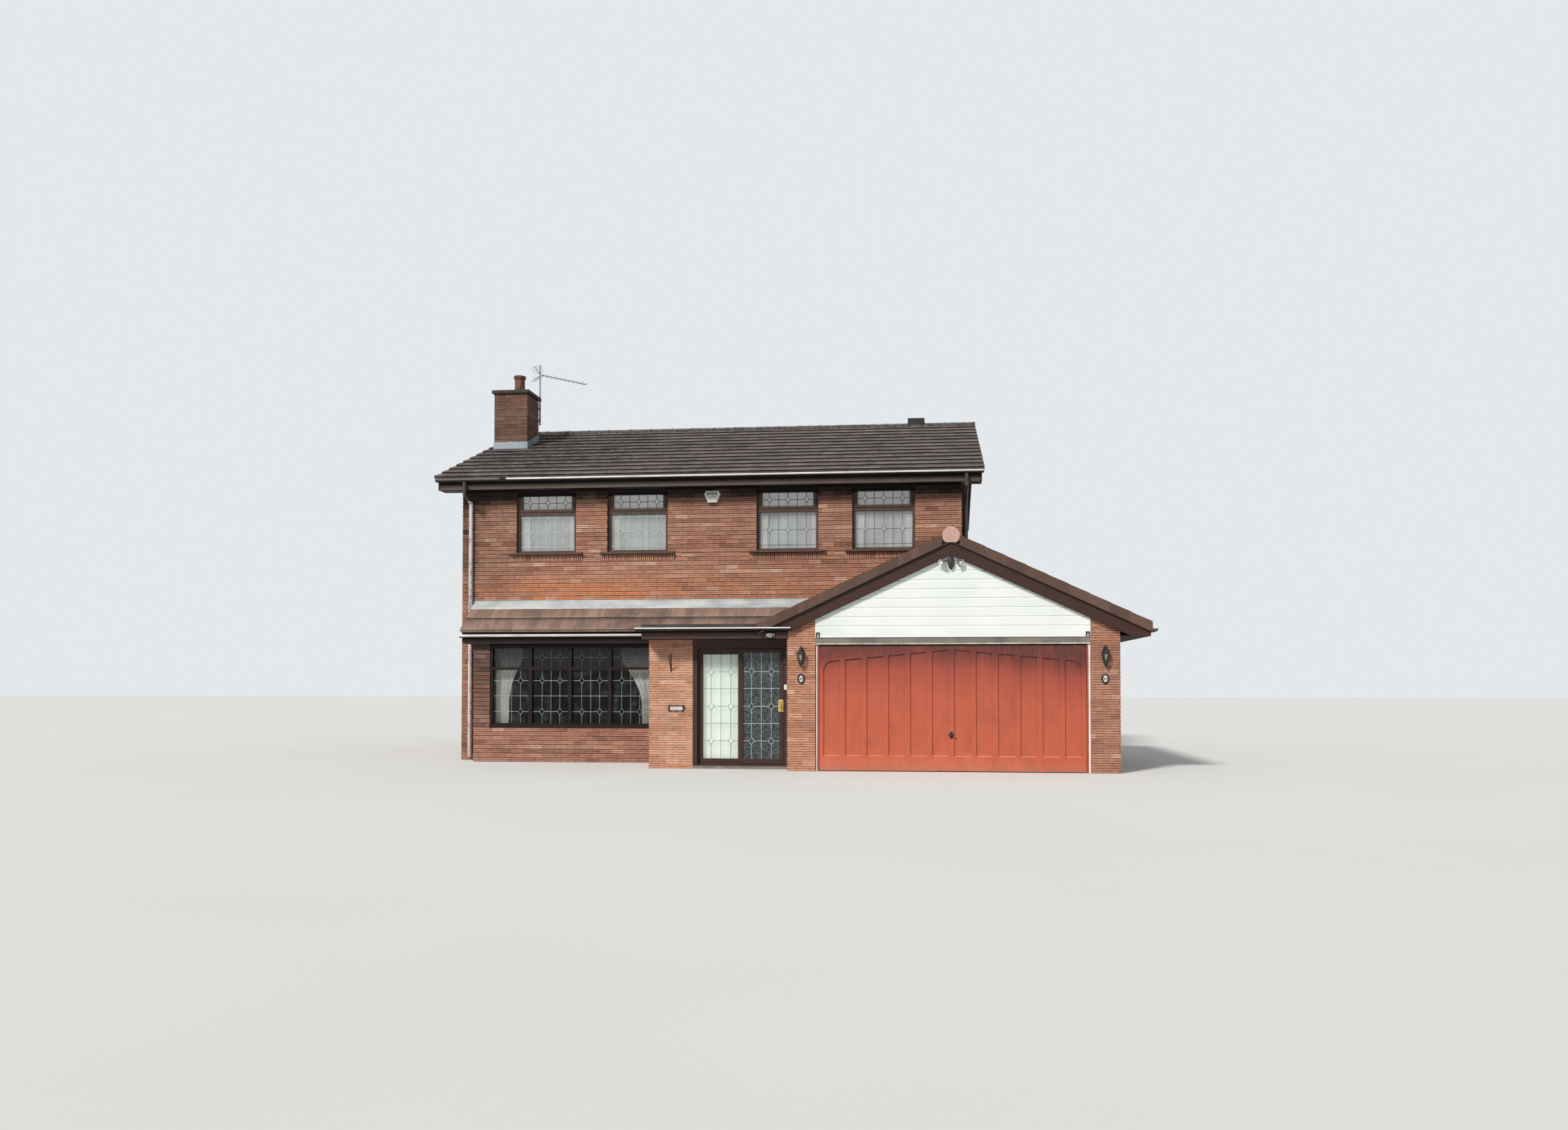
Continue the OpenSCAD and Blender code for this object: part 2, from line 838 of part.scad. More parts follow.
module gutters() {
    color("dimgray") {
        gutter([-roof_x + 23, roof_x - 15], -fascia_out, main_gutter_z);
        at_rear()
            gutter([-roof_x + 23, roof_x - 15], -fascia_out, main_gutter_z);
        gutter([lean_x, porch_roof_x[0] - 2], -lean_fascia_out, lean_gutter_z);
        gutter([porch_x - 130, porch_gutter_end], -porch_fascia_out, porch_gutter_z);
        translate([garage_edge[1] - fascia_in_x, 0, 0])
            rotate([0, 0, 90])
                gutter([barge_y, garage_back + garage_verge], 0, garage_gutter_z);
    }
}

// Swan neck from a gutter's outlet to the wall, and the pipe below it with its clips
module downpipe(x, top_x, y, z0, z1, clip) {
    outlet = [top_x, -fascia_out - gutter_r - seat, main_gutter_z - gutter_r + 1];
    bend = [top_x, outlet[1], soffit_z - 70];
    elbow = [x, y, z1];
    rod(bend, outlet, pipe_r);
    rod(elbow, bend, pipe_r);
    translate(bend)
        sphere(r = pipe_r);
    translate(elbow)
        sphere(r = pipe_r);
    translate([x, y, z0])
        cylinder(h = z1 - z0, r = pipe_r);
    for (k = [0 : 2])
        translate([x, y, z0 + 120 + k * (z1 - z0 - 240) / 2])
            translate([min(0, clip[0]), min(0, clip[1]), -20])
                cube([max(24, abs(clip[0])), max(24, abs(clip[1])), 40]);
}

module downpipes() {
    color("gray") {
        difference() {
            downpipe(left_pipe_x, left_pipe_x, -pipe_out, 60, soffit_z - 200, [0, pipe_out]);
            gutters_bore();
        }
        difference() {
            downpipe(right_pipe_x, right_pipe_x, right_pipe_y, garage_top(right_pipe_x) + 80,
                soffit_z - 240, [-(right_pipe_x - main_x), 0]);
            gutters_bore();
        }
        at_rear()
            difference() {
                downpipe(-left_pipe_x, -left_pipe_x, -pipe_out, 60,
                    soffit_z - 200, [0, pipe_out]);
                gutters_bore();
            }
    }
}

// Body of the main gutter, taken out of the pipes' upper ends
module gutters_bore() {
    run_x([-roof_x, roof_x])
        translate([-fascia_out - gutter_r - seat, main_gutter_z])
            circle(r = gutter_r + seat);
}

// One window in an opening of the front wall: outer frame, transom and a proud top-hung sash
module window_frame(x, z) {
    side = window_w / 2;
    frame_z = [z[0] + sill_t, z[1]];
    transom_z = frame_z[0] + transom_up - sill_t;
    sash = [side - frame_w + 4, transom_z + transom_h / 2 - 10, frame_z[1] - 10];
    translate([x, reveal, 0])
        difference() {
            union() {
                box([-side, side], [0, frame_d], frame_z);
                box([-sash[0], sash[0]], [-sash_out, 1], [sash[1], sash[2]]);
            }
            box([frame_w - side, side - frame_w], [-20, frame_d + 1],
                [frame_z[0] + frame_w - 6, transom_z - transom_h / 2]);
            box([sash_w + frame_w - side, side - frame_w - sash_w], [-20, frame_d + 1],
                [sash[1] + sash_w - 3, sash[2] - sash_w]);
        }
}

module window_panes(x, z) {
    side = window_w / 2;
    frame_z = [z[0] + sill_t, z[1]];
    transom_z = frame_z[0] + transom_up - sill_t;
    sash = [side - frame_w + 4, transom_z + transom_h / 2 - 10, frame_z[1] - 10];
    box([x + frame_w - side, x + side - frame_w], [glass_y, glass_y + glass_t],
        [frame_z[0] + frame_w - 6, transom_z - transom_h / 2]);
    box([x + sash_w + frame_w - side, x + side - frame_w - sash_w], [glass_y, glass_y + glass_t],
        [sash[1] + sash_w - 3, sash[2] - sash_w]);
}

module window_frames() {
    color("saddlebrown") {
        for (x = window_xs)
            window_frame(x, window_z);
        at_rear() {
            for (x = window_xs)
                window_frame(x, window_z);
            for (x = rear_low_xs)
                window_frame(x, rear_low_z);
        }
    }
}

module bay_pane(i, z) {
    x = bay_window_x + bay_jamb + i * (bay_light_w + bay_mullion);
    y = bay_frame_y + bay_frame_d / 2;
    box([x, x + bay_light_w], [y - glass_t / 2, y + glass_t / 2], z);
}

bay_low_z = [bay_sill_z + bay_bottom_rail, bay_transom_z - 24];
bay_high_z = [bay_transom_z + 24, lean_soffit_z - bay_top_rail];

module window_glass() {
    color("lightcyan") {
        for (x = window_xs)
            window_panes(x, window_z);
        at_rear() {
            for (x = window_xs)
                window_panes(x, window_z);
            for (x = rear_low_xs)
                window_panes(x, rear_low_z);
        }
        for (i = [0 : bay_lights - 1]) {
            bay_pane(i, bay_low_z);
            bay_pane(i, bay_high_z);
        }
        fixed_leaf_glass();
    }
}

module window_sill(x, z) {
    side = window_w / 2;
    box([x - side, x + side], [0, reveal + frame_d], [z[0], z[0] + sill_t]);
    box([x - side - sill_horn, x + side + sill_horn], [-sill_out, 0], [z[0], z[0] + sill_t]);
}

module window_sills() {
    color("saddlebrown") {
        for (x = window_xs)
            window_sill(x, window_z);
        at_rear() {
            for (x = window_xs)
                window_sill(x, window_z);
            for (x = rear_low_xs)
                window_sill(x, rear_low_z);
        }
    }
}

// Plain blocks for the nets of the upper windows, the bay's curtains and the porch curtain
module curtains() {
    net_y = reveal + frame_d + 5;
    bay_y = bay_frame_y + bay_frame_d;
    color("whitesmoke") {
        for (x = window_xs)
            box([x - window_w / 2 + 20, x + window_w / 2 - 20], [net_y, net_y + net_t],
                [window_z[0] + sill_t + 10, window_z[1]]);
        box([bay_window_x + 20, bay_window_x + 480], [bay_y, bay_y + curtain_t],
            [bay_sill_z + 40, lean_soffit_z - 20]);
        box([bay_window_end - 480, bay_window_end - 20], [bay_y, bay_y + curtain_t],
            [bay_sill_z + 40, lean_soffit_z - 20]);
        box([fixed_x, fixed_x + leaf_w], [frame_depth - porch_out, frame_depth + curtain_t - porch_out],
            [porch_floor_z + 60, door_head_z - 10]);
    }
}

// Brick apron and left return of the bay, and the pier at its right
module bay_walls() {
    color("indianred") {
        box([bay_x, porch_x], [-bay_out, bay_wall_t - bay_out], [0, bay_sill_z]);
        box([bay_window_end, porch_x], [-bay_out, bay_wall_t - bay_out], [bay_sill_z, lean_soffit_z]);
        box([bay_x, bay_x + bay_wall_t], [bay_wall_t - bay_out, 0], [0, lean_soffit_z]);
    }
}

// Four lights with a transom, and the boarded post at the left
module bay_window_frame() {
    color("saddlebrown") {
        difference() {
            box([bay_window_x, bay_window_end], [bay_frame_y, bay_frame_y + bay_frame_d],
                [bay_sill_z, lean_soffit_z]);
            for (i = [0 : bay_lights - 1])
                translate([bay_window_x + bay_jamb + i * (bay_light_w + bay_mullion), 0, 0]) {
                    box([0, bay_light_w], [-bay_out, 0], bay_low_z);
                    box([0, bay_light_w], [-bay_out, 0], bay_high_z);
                }
        }
        box([bay_x, bay_window_x], [-bay_out, bay_wall_t - bay_out], [bay_sill_z, lean_soffit_z]);
        box([bay_window_x - 1, bay_window_end], [-bay_out - 25, bay_frame_y],
            [bay_sill_z, bay_sill_z + 35]);
    }
}

// Tiled slope over the bay and the porch, cut to the flat roof and the garage roof it lands on
module lean_to_roof() {
    color("sienna")
        difference() {
            run_x([lean_x, garage_mid])
                polygon([[-lean_out, lean_top(-lean_out) - seam],
                    [-lean_out, lean_top(-lean_out) - lean_tile_v],
                    [lean_fascia_in, lean_top(lean_fascia_in) - lean_tile_v],
                    [lean_fascia_in, lean_under(lean_fascia_in) + seam],
                    [0, lean_under(0) + seam],
                    [0, lean_top(0) - seam]]);
            box([porch_roof_x[0], garage_end], [-garage_out, 1], [0, porch_roof_z + porch_roof_t]);
            garage_space();
        }
}

module lean_to_fascia() {
    color("saddlebrown") {
        box([lean_x + 20, porch_roof_x[0] - 2], [-lean_fascia_out, lean_fascia_in],
            [lean_soffit_z, lean_top(-lean_fascia_out) - lean_tile_v]);
        box([lean_x + 20, porch_x], [lean_fascia_in, bay_wall_t - bay_out + 20],
            [lean_soffit_z, lean_soffit_z + soffit_t]);
        run_x([lean_x + 20, lean_x + 20 + barge_t])
            polygon([[lean_fascia_in, lean_soffit_z], [0, lean_soffit_z], [0, lean_under(0)],
                [lean_fascia_in, lean_under(lean_fascia_in)]]);
    }
}

// Side wall of the porch and the pier beside its door
module porch_walls() {
    color("indianred") {
        box([porch_x, porch_x + porch_wall_t], [porch_wall_t - porch_out, 0], [0, porch_soffit_z]);
        box([porch_x, pier_end], [-porch_out, porch_wall_t - porch_out], [0, porch_soffit_z]);
        box([porch_x, porch_x + porch_wall_t], [-porch_out, -lean_out - 20],
            [porch_soffit_z, porch_roof_z]);
    }
}

module porch_roof() {
    color("dimgray")
        box(porch_roof_x, [-porch_fascia_out, 0], [porch_roof_z, porch_roof_z + porch_roof_t]);
}

// Fascia, soffit and end board of the flat roof, and the board on the beam over the door
module porch_fascia() {
    fascia_in_y = fascia_t - porch_fascia_out;
    color("saddlebrown") {
        box([porch_x - 44, porch_end + 10], [-porch_fascia_out, fascia_in_y],
            [porch_soffit_z, porch_roof_z]);
        box([porch_x - 44, porch_end], [fascia_in_y, -porch_out],
            [porch_soffit_z, porch_soffit_z + soffit_t]);
        box([porch_x - 44, porch_x - 22], [fascia_in_y, -lean_out - 20],
            [porch_soffit_z, porch_roof_z]);
        box([porch_x - 22, porch_x], [-porch_out, -lean_out - 20],
            [porch_soffit_z, porch_soffit_z + soffit_t]);
        box([pier_end, porch_end], [-porch_out - 25, frame_depth - porch_out],
            [door_head_z, porch_soffit_z]);
    }
}

// Posts, head, threshold and the fixed leaf at the left
module porch_door_frame() {
    y = [-porch_out, frame_depth - porch_out];
    color("saddlebrown") {
        difference() {
            box([pier_end, porch_end], y, [porch_floor_z, door_head_z]);
            box(door_space, [y[0] - 1, y[1] + 1], [track_z, door_head_z - frame_head_h]);
        }
        difference() {
            box([pier_end + post_w, fixed_x + leaf_w], [fixed_y, fixed_y + leaf_t],
                [track_z, door_head_z - frame_head_h]);
            box([fixed_x + stile_w, fixed_x + leaf_w - stile_w - 15], [fixed_y - 1, fixed_y + leaf_t + 1],
                [track_z + bottom_rail, door_head_z - frame_head_h - top_rail - 35]);
        }
    }
}

module fixed_leaf_glass() {
    box([fixed_x + stile_w, fixed_x + leaf_w - stile_w - 15],
        [fixed_y + leaf_t / 2 - 4, fixed_y + leaf_t / 2 + 4],
        [track_z + bottom_rail, door_head_z - frame_head_h - top_rail - 35]);
}

leaf_hole_x = [leaf_x + stile_w + 15, leaf_x + leaf_w - stile_w];
leaf_hole_z = [leaf_z[0] + bottom_rail - leaf_gap, leaf_z[1] - top_rail];

// Sliding leaf on two wheels that run on the threshold
module porch_sliding_door() {
    color("saddlebrown") {
        difference() {
            box([leaf_x, leaf_x + leaf_w], [leaf_y, leaf_y + leaf_t], leaf_z);
            box(leaf_hole_x, [leaf_y - 1, leaf_y + leaf_t + 1], leaf_hole_z);
        }
        for (x = [leaf_x + 90, leaf_x + leaf_w - 90])
            translate([x, leaf_y + leaf_t / 2 + 6, track_z + seat + wheel_r])
                rotate([90, 0, 0])
                    cylinder(h = 12, r = wheel_r);
    }
}

module porch_sliding_glass() {
    color("lightcyan")
        box(leaf_hole_x, [leaf_y + leaf_t / 2 - 4, leaf_y + leaf_t / 2 + 4], leaf_hole_z);
}

// Brass pull: a plate with a bow handle
module porch_door_handle() {
    x = leaf_x + leaf_w - stile_w / 2 - 12;
    z = 1010;
    color("gold")
        translate([x, leaf_y, z])
            difference() {
                union() {
                    box([-42, 42], [-6, 0], [-97, 97]);
                    box([-14, 14], [-34, -5], [-80, 80]);
                }
                box([-20, 20], [-22, -6], [-60, 60]);
            }
}

// Outline of a wall below the garage roof, between two x values
module under_garage_roof(x, z0) {
    polygon(concat([[x[0], z0], [x[1], z0]], garage_line(x, -garage_roof_v)));
}

module garage_piers() {
    color("indianred")
        for (x = [[garage_x, opening[0]], [opening[1], garage_end]])
            run_y([-garage_out, garage_wall_t - garage_out])
                under_garage_roof(x, 0);
}

// Side walls behind the piers, and the rear wall beside the main block
module garage_walls() {
    color("indianred") {
        run_y([garage_wall_t - garage_out, 0])
            under_garage_roof([garage_x, garage_x + garage_wall_t], 0);
        run_y([garage_wall_t - garage_out, garage_back])
            under_garage_roof([garage_end - garage_wall_t, garage_end], 0);
        run_y([garage_back - garage_wall_t, garage_back])
            under_garage_roof([main_x, garage_end - garage_wall_t], 0);
    }
}

// Boarded gable over the garage door
module garage_cladding() {
    color("white")
        run_y([cladding_y, cladding_y + cladding_t])
            under_garage_roof(opening, cladding_z);
}

module garage_head_beam() {
    color("slategray")
        box(opening, [cladding_y + 5, cladding_y + cladding_t], [head_z, cladding_z]);
}

module garage_door_posts() {
    color("white") {
        box([opening[0], opening[0] + jamb_w], post_y, [0, head_z]);
        box([opening[1] - jamb_w, opening[1]], post_y, [0, head_z]);
    }
}

// Channel that a door roller runs in, with its stays to the post and the side wall
module garage_track() {
    z = pivot_z - roller_r - seat;
    inner_h = 2 * roller_r + 6;
    difference() {
        box([track_x, track_x + track_w], track_y, [z - track_t, z + inner_h + track_t]);
        box([track_x + track_t, track_x + track_w + 1], [track_y[0] - 1, track_y[1] + 1], [z, z + inner_h]);
    }
    box([garage_x + garage_wall_t, track_x], [track_y[1] - 60, track_y[1] - 20],
        [z - track_t, z + inner_h + track_t]);
}

module garage_door_tracks() {
    color("silver") {
        garage_track();
        at_garage_right()
            garage_track();
    }
}

module garage_roof_left() {
    color("sienna")
        difference() {
            run_y([verge_y, 0])
                garage_layer([garage_edge[0], garage_mid], [seam - garage_roof_v, -seam]);
            porch_gutter_room();
        }
}

module garage_roof_right() {
    color("sienna") {
        run_y([verge_y, 0])
            garage_layer([garage_mid, garage_edge[1]], [seam - garage_roof_v, -seam]);
        run_y([0, garage_back + garage_verge])
            garage_layer([main_x, garage_edge[1]], [seam - garage_roof_v, -seam]);
    }
}

// Ridge tiles ended at the front by a round-topped cap
module garage_ridge() {
    peak = [garage_mid, garage_top(garage_mid)];
    color("rosybrown") {
        difference() {
            run_y([verge_y, -lead_t])
                ridge_ring(peak);
            garage_space();
        }
        run_y([verge_y - ridge_t, verge_y])
            translate([peak[0], peak[1] - ridge_sink]) {
                intersection() {
                    circle(r = cap_r);
                    translate([-cap_r, -cap_drop])
                        square([2 * cap_r, cap_drop + cap_r]);
                }
            }
    }
}

// Cloaked verge tiles: a top lap and an edge that hangs over the bargeboard
module verge_run() {
    lap = ridge_t;
    h = verge_h / cos(garage_pitch);
    end = garage_mid - cap_r - 1;
    run_y([verge_y - ridge_t, verge_y])
        polygon([[garage_edge[0], garage_top(garage_edge[0]) + lap],
            [garage_edge[0], garage_top(garage_edge[0]) + lap - h],
            [end, garage_top(end) + lap - h], [end, garage_top(end) + lap]]);
    run_y([verge_y, verge_y + 110])
        polygon([[garage_edge[0], garage_top(garage_edge[0]) + lap],
            [garage_edge[0], garage_top(garage_edge[0])],
            [end, garage_top(end)], [end, garage_top(end) + lap]]);
}

module garage_verges() {
    color("sienna") {
        difference() {
            verge_run();
            porch_gutter_room();
        }
        at_garage_right()
            verge_run();
    }
}

// Outline below the door's shallow pointed arch, with rounded outer corners
module arch_line() {
    half = panel_span / 2;
    r = panel_corner_r;
    side_z = panel_top_z - half * tan(panel_rake);
    centre_z = panel_top_z - (half - r) * tan(panel_rake) - r / cos(panel_rake);
    difference() {
        polygon([[-half, panel_z], [half, panel_z], [half, side_z], [0, panel_top_z], [-half, side_z]]);
        for (s = [-1, 1])
            difference() {
                translate([s * (half - r / 2 + r * sin(panel_rake) / 2), centre_z + r])
                    square([r - r * sin(panel_rake) + 0.01, 2 * r], center = true);
                translate([s * (half - r), centre_z])
                    circle(r = r);
            }
    }
}

// Timber door: twelve recessed panels whose tops follow one arch, and the brackets of its pivots
module garage_door() {
    bracket_x = 9;
    color("firebrick") {
        difference() {
            box(door_x, [door_y, door_y + door_t], door_z);
            translate([door_mid, 0, 0])
                run_y([door_y - 1, door_y + panel_depth])
                    intersection() {
                        arch_line();
                        for (i = [0 : panel_count - 1])
                            translate([(i - (panel_count - 1) / 2) * panel_pitch - panel_w / 2, 0])
                                square([panel_w, 2 * panel_top_z]);
                    }
        }
        for (side = [0, 1])
            translate([side * (door_x[0] + door_x[1]), 0, 0])
                mirror([side, 0, 0])
                    difference() {
                        box([door_x[0] + bracket_x, door_x[0] + bracket_x + 6],
                            [door_y + door_t, pivot_y + 18], [pivot_z - 40, pivot_z + 40]);
                        translate([door_x[0], pivot_y, pivot_z])
                            rotate([0, 90, 0])
                                cylinder(h = 40, r = spindle_r + spindle_gap);
                    }
    }
}

// Lever handle on its plate
module garage_door_handle() {
    color("black")
        translate([door_mid, door_y, 570]) {
            box([-24, 24], [-6, 0], [-50, 50]);
            box([-9, 9], [-32, -5], [-9, 9]);
            box([-48, 48], [-44, -31], [-11, 11]);
        }
}

// Roller and spindle at each side
module garage_door_rollers() {
    color("silver")
        for (side = [0, 1])
            translate([side * 2 * garage_mid, 0, 0])
                mirror([side, 0, 0]) {
                    translate([track_x + 12, pivot_y, pivot_z])
                        rotate([0, 90, 0])
                            cylinder(h = 20, r = roller_r);
                    translate([track_x + 30, pivot_y, pivot_z])
                        rotate([0, 90, 0])
                            cylinder(h = door_x[0] + 24 - track_x - 30, r = spindle_r);
                }
}

// Wall lantern turned to one profile, with its plate and two arms, against the wall at its origin
module lantern() {
    w = lamp_w / 2;
    h = lamp_h / 2;
    translate([0, w - lamp_out, 0])
        rotate_extrude()
            polygon([[0, -h], [0.2 * w, -h], [0.45 * w, -0.86 * h], [0.3 * w, -0.74 * h],
                [0.56 * w, -0.62 * h], [0.84 * w, 0.26 * h], [w, 0.3 * h], [w, 0.38 * h],
                [0.58 * w, 0.56 * h], [0.24 * w, 0.66 * h], [0.2 * w, 0.82 * h],
                [0.32 * w, 0.88 * h], [0.12 * w, h], [0, h]]);
    box([-w / 2, w / 2], [-lamp_plate_t, 0], [-0.5 * h, 0.9 * h]);
    box([-w / 6, w / 6], [w - lamp_out, 0], [0.68 * h, 0.68 * h + w / 4]);
    box([-w / 6, w / 6], [w - lamp_out, 0], [-0.74 * h, w / 4 - 0.74 * h]);
}

// Plate with an upright oval outline
module oval_plaque() {
    rotate([90, 0, 0])
        linear_extrude(plaque_t)
            scale([plaque_w / plaque_h, 1])
                circle(r = plaque_h / 2);
}

// Strip on the wall with an arm that rises from its foot
module basket_bracket() {
    box([-bracket_t, bracket_t], [-bracket_t, 0], [0, bracket_h]);
    run_x([-bracket_t / 2, bracket_t / 2])
        polygon([[0, bracket_t], [0, 4 * bracket_t], [-bracket_out, bracket_h],
            [-bracket_out - 1.5 * bracket_t, bracket_h - bracket_t]]);
}

// Small arched hasp at a lower corner of the boarded gable
module gable_hasp() {
    box([-hasp_w / 2, hasp_w / 2], [-hasp_t, 0], [hasp_h - hasp_w / 3, hasp_h]);
    for (s = [-1, 1])
        box([s * hasp_w / 3 - hasp_w / 6, s * hasp_w / 3 + hasp_w / 6], [-hasp_t, 0], [0, hasp_h]);
}

// Lanterns and plaques of the garage piers, name plate and basket bracket of the porch pier
module wall_ironwork() {
    pier_mid = garage_pier_w / 2;
    color("black") {
        for (x = [garage_x + pier_mid, garage_end - pier_mid]) {
            translate([x, -garage_out, lamp_z])
                lantern();
            translate([x, -garage_out, plaque_z])
                oval_plaque();
        }
        for (x = [opening[0] + hasp_w * 0.7, opening[1] - hasp_w * 0.7])
            translate([x, cladding_y, cladding_z + 5])
                gable_hasp();
        plate([pier_end - name_plate_in, -porch_out, name_plate_z], name_plate_w, name_plate_h, plaque_t);
        translate([pier_end - bracket_in, -porch_out, bracket_z])
            basket_bracket();
    }
}

// Shield-shaped alarm box over its dark base
module alarm_box() {
    half = alarm_w / 2;
    color("white")
        translate([alarm_x, 0, alarm_z])
            rotate([90, 0, 0])
                linear_extrude(alarm_out)
                    polygon([[-half, alarm_h / 2], [half, alarm_h / 2], [half, 0],
                        [0.7 * half, -alarm_h / 2], [-0.7 * half, -alarm_h / 2], [-half, 0]]);
    color("black")
        plate([alarm_x, 0, alarm_z - 0.58 * alarm_h], 0.68 * alarm_w, 45, 0.67 * alarm_out);
}

// Twin floodlight under the garage ridge: a body, two arms and two flared lamps
module floodlight() {
    translate([garage_mid, cladding_y, flood_z]) {
        color("black")
            plate([0, 0, 0], 90, 90, flood_out);
        for (s = [-1, 1])
            translate([s * flood_half, -flood_out, -15]) {
                color("silver")
                    rotate([70, 0, 0])
                        cylinder(h = 90, r1 = 34, r2 = 58);
                color("black")
                    rod([-s * 90, 0, 10], [-s * 10, -20, 5], 12);
            }
    }
}

// Bell push and latch on the door's right post, and the sensor light under the gutter
module door_fittings() {
    color("ivory") {
        plate([bell_x, -porch_out, bell_z], 50, 82, 16);
        plate([sensor_x, -porch_fascia_out, sensor_z], 130, 50, 30);
        plate([sensor_x, -porch_fascia_out - 30, sensor_z - 7], 70, 64, 40);
    }
    color("black")
        plate([bell_x, -porch_out, latch_z], 60, 97, 20);
}

ground_floor();
upper_floor();
front_wall_lower();
front_wall_upper();
rear_wall();
left_gable_wall();
right_gable_wall();
chimney_stack();
chimney_cap();
chimney_pot();
lead_flashings();
tv_aerial();
main_roof_front();
main_roof_rear();
main_ridge();
main_fascias();
bargeboards();
gutters();
downpipes();
window_frames();
window_glass();
window_sills();
curtains();
bay_walls();
bay_window_frame();
lean_to_roof();
lean_to_fascia();
porch_walls();
porch_roof();
porch_fascia();
porch_door_frame();
porch_sliding_door();
porch_sliding_glass();
porch_door_handle();
garage_piers();
garage_walls();
garage_cladding();
garage_head_beam();
garage_door_posts();
garage_door_tracks();
garage_roof_left();
garage_roof_right();
garage_ridge();
garage_verges();
garage_door();
garage_door_handle();
garage_door_rollers();
wall_ironwork();
alarm_box();
floodlight();
door_fittings();
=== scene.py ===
"""Finishes for a detached house of the 1970s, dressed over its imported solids.

Sizes are in metres in the CAD frame: +X runs right along the front, +Y into the house and +Z up.
The origin is on the ground below the middle of the two-storey block's front wall.
"""

import math
import random

import bmesh
import bpy
from mathutils import Matrix, Vector


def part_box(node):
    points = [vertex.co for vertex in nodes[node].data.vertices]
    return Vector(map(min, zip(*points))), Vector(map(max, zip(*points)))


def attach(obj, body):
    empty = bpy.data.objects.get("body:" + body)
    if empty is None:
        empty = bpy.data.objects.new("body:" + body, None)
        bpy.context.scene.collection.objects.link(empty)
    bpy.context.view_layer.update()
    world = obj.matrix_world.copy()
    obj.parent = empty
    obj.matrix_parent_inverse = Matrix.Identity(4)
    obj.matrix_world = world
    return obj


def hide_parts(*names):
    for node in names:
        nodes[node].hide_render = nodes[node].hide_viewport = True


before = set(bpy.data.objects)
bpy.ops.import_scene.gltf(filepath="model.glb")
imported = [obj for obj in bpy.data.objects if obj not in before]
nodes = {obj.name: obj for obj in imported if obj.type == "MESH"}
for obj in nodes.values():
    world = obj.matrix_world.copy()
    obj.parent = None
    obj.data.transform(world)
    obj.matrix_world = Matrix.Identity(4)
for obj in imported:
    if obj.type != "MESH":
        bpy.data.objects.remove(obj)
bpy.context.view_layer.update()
chance = random.Random(71)


# Sizes read from the solids

MAIN_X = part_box("front_wall_upper")[1].x
MAIN_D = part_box("rear_wall")[1].y
EAVE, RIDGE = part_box("main_roof_front")
STACK_LOW, STACK_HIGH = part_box("chimney_stack")
LEAN_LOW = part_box("lean_to_roof")[0]
BAY_LOW, BAY_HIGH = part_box("bay_walls")
BAY_FRAME_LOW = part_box("bay_window_frame")[0]
PORCH_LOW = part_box("porch_walls")[0]
PIERS_LOW, PIERS_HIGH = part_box("garage_piers")
GARAGE_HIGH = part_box("garage_walls")[1]
GARAGE_EDGE_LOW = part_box("garage_roof_left")[0]
GARAGE_EDGE_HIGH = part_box("garage_roof_right")[1]
CLADDING_LOW, CLADDING_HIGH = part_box("garage_cladding")
DOOR_LOW, DOOR_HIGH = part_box("garage_door")
FLOOD_LOW, FLOOD_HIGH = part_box("floodlight")
ALARM_LOW, ALARM_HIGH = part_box("alarm_box")
GARAGE_MID = (PIERS_LOW.x + PIERS_HIGH.x) / 2
MAIN_PITCH = math.radians(21.5)
LEAN_PITCH = math.radians(40)
GARAGE_PITCH = math.radians(25)
WINDOW_XS = (-2.910, -1.245, 1.430, 3.110)
REAR_LOW_XS = (WINDOW_XS[0], WINDOW_XS[1], WINDOW_XS[3])
WINDOW_HALF = 0.545
WINDOW_Z = (3.655, 4.775)
REAR_LOW_Z = (1.000, 2.120)
SILL_HALF = WINDOW_HALF + 0.122
SOFFIT_Z = 4.800
LEAN_Z = 2.290
LEAN_OUT = 0.600
LEAD_TOP = 2.852
GARAGE_LOW_Z = 2.290
GARAGE_WALL = 0.215
GARAGE_EAVE_Z = 2.40
PORCH_WALL_Z = 2.07
GUTTER_Z = 4.985
GUTTER_OUT = 0.3563
PORCH_GUTTER_Z = 2.247

# The bay window's opening starts behind its left stile, and has four equal panes between mullions.
BAY_LEFT = -3.76
BAY_STILE = 0.042
BAY_PANE = 0.6645
BAY_MULLION = 0.046

# Planes that the lead strips lie in, just in front of the glass.
UPPER_LEADS_Y = 0.0805
BAY_LEADS_Y = -0.3985
PORCH_LEADS_Y = -1.6385
LEAF_LEADS_Y = -1.6895


def main_roof_z(y):
    """Height of the main roof's top over a point in front of or behind the ridge."""
    return RIDGE.z - abs(y - RIDGE.y) * math.tan(MAIN_PITCH)


def garage_roof_z(x):
    """Height of the garage roof's top."""
    reach = GARAGE_MID - GARAGE_EDGE_LOW.x
    return GARAGE_LOW_Z + (reach - abs(x - GARAGE_MID)) * math.tan(GARAGE_PITCH)


# Node helpers

def srgb(code):
    """Linear colour of a six-figure sRGB hex value."""
    parts = [int(code[i:i + 2], 16) / 255 for i in (0, 2, 4)]
    return [p / 12.92 if p <= 0.04045 else ((p + 0.055) / 1.055) ** 2.4 for p in parts] + [1.0]


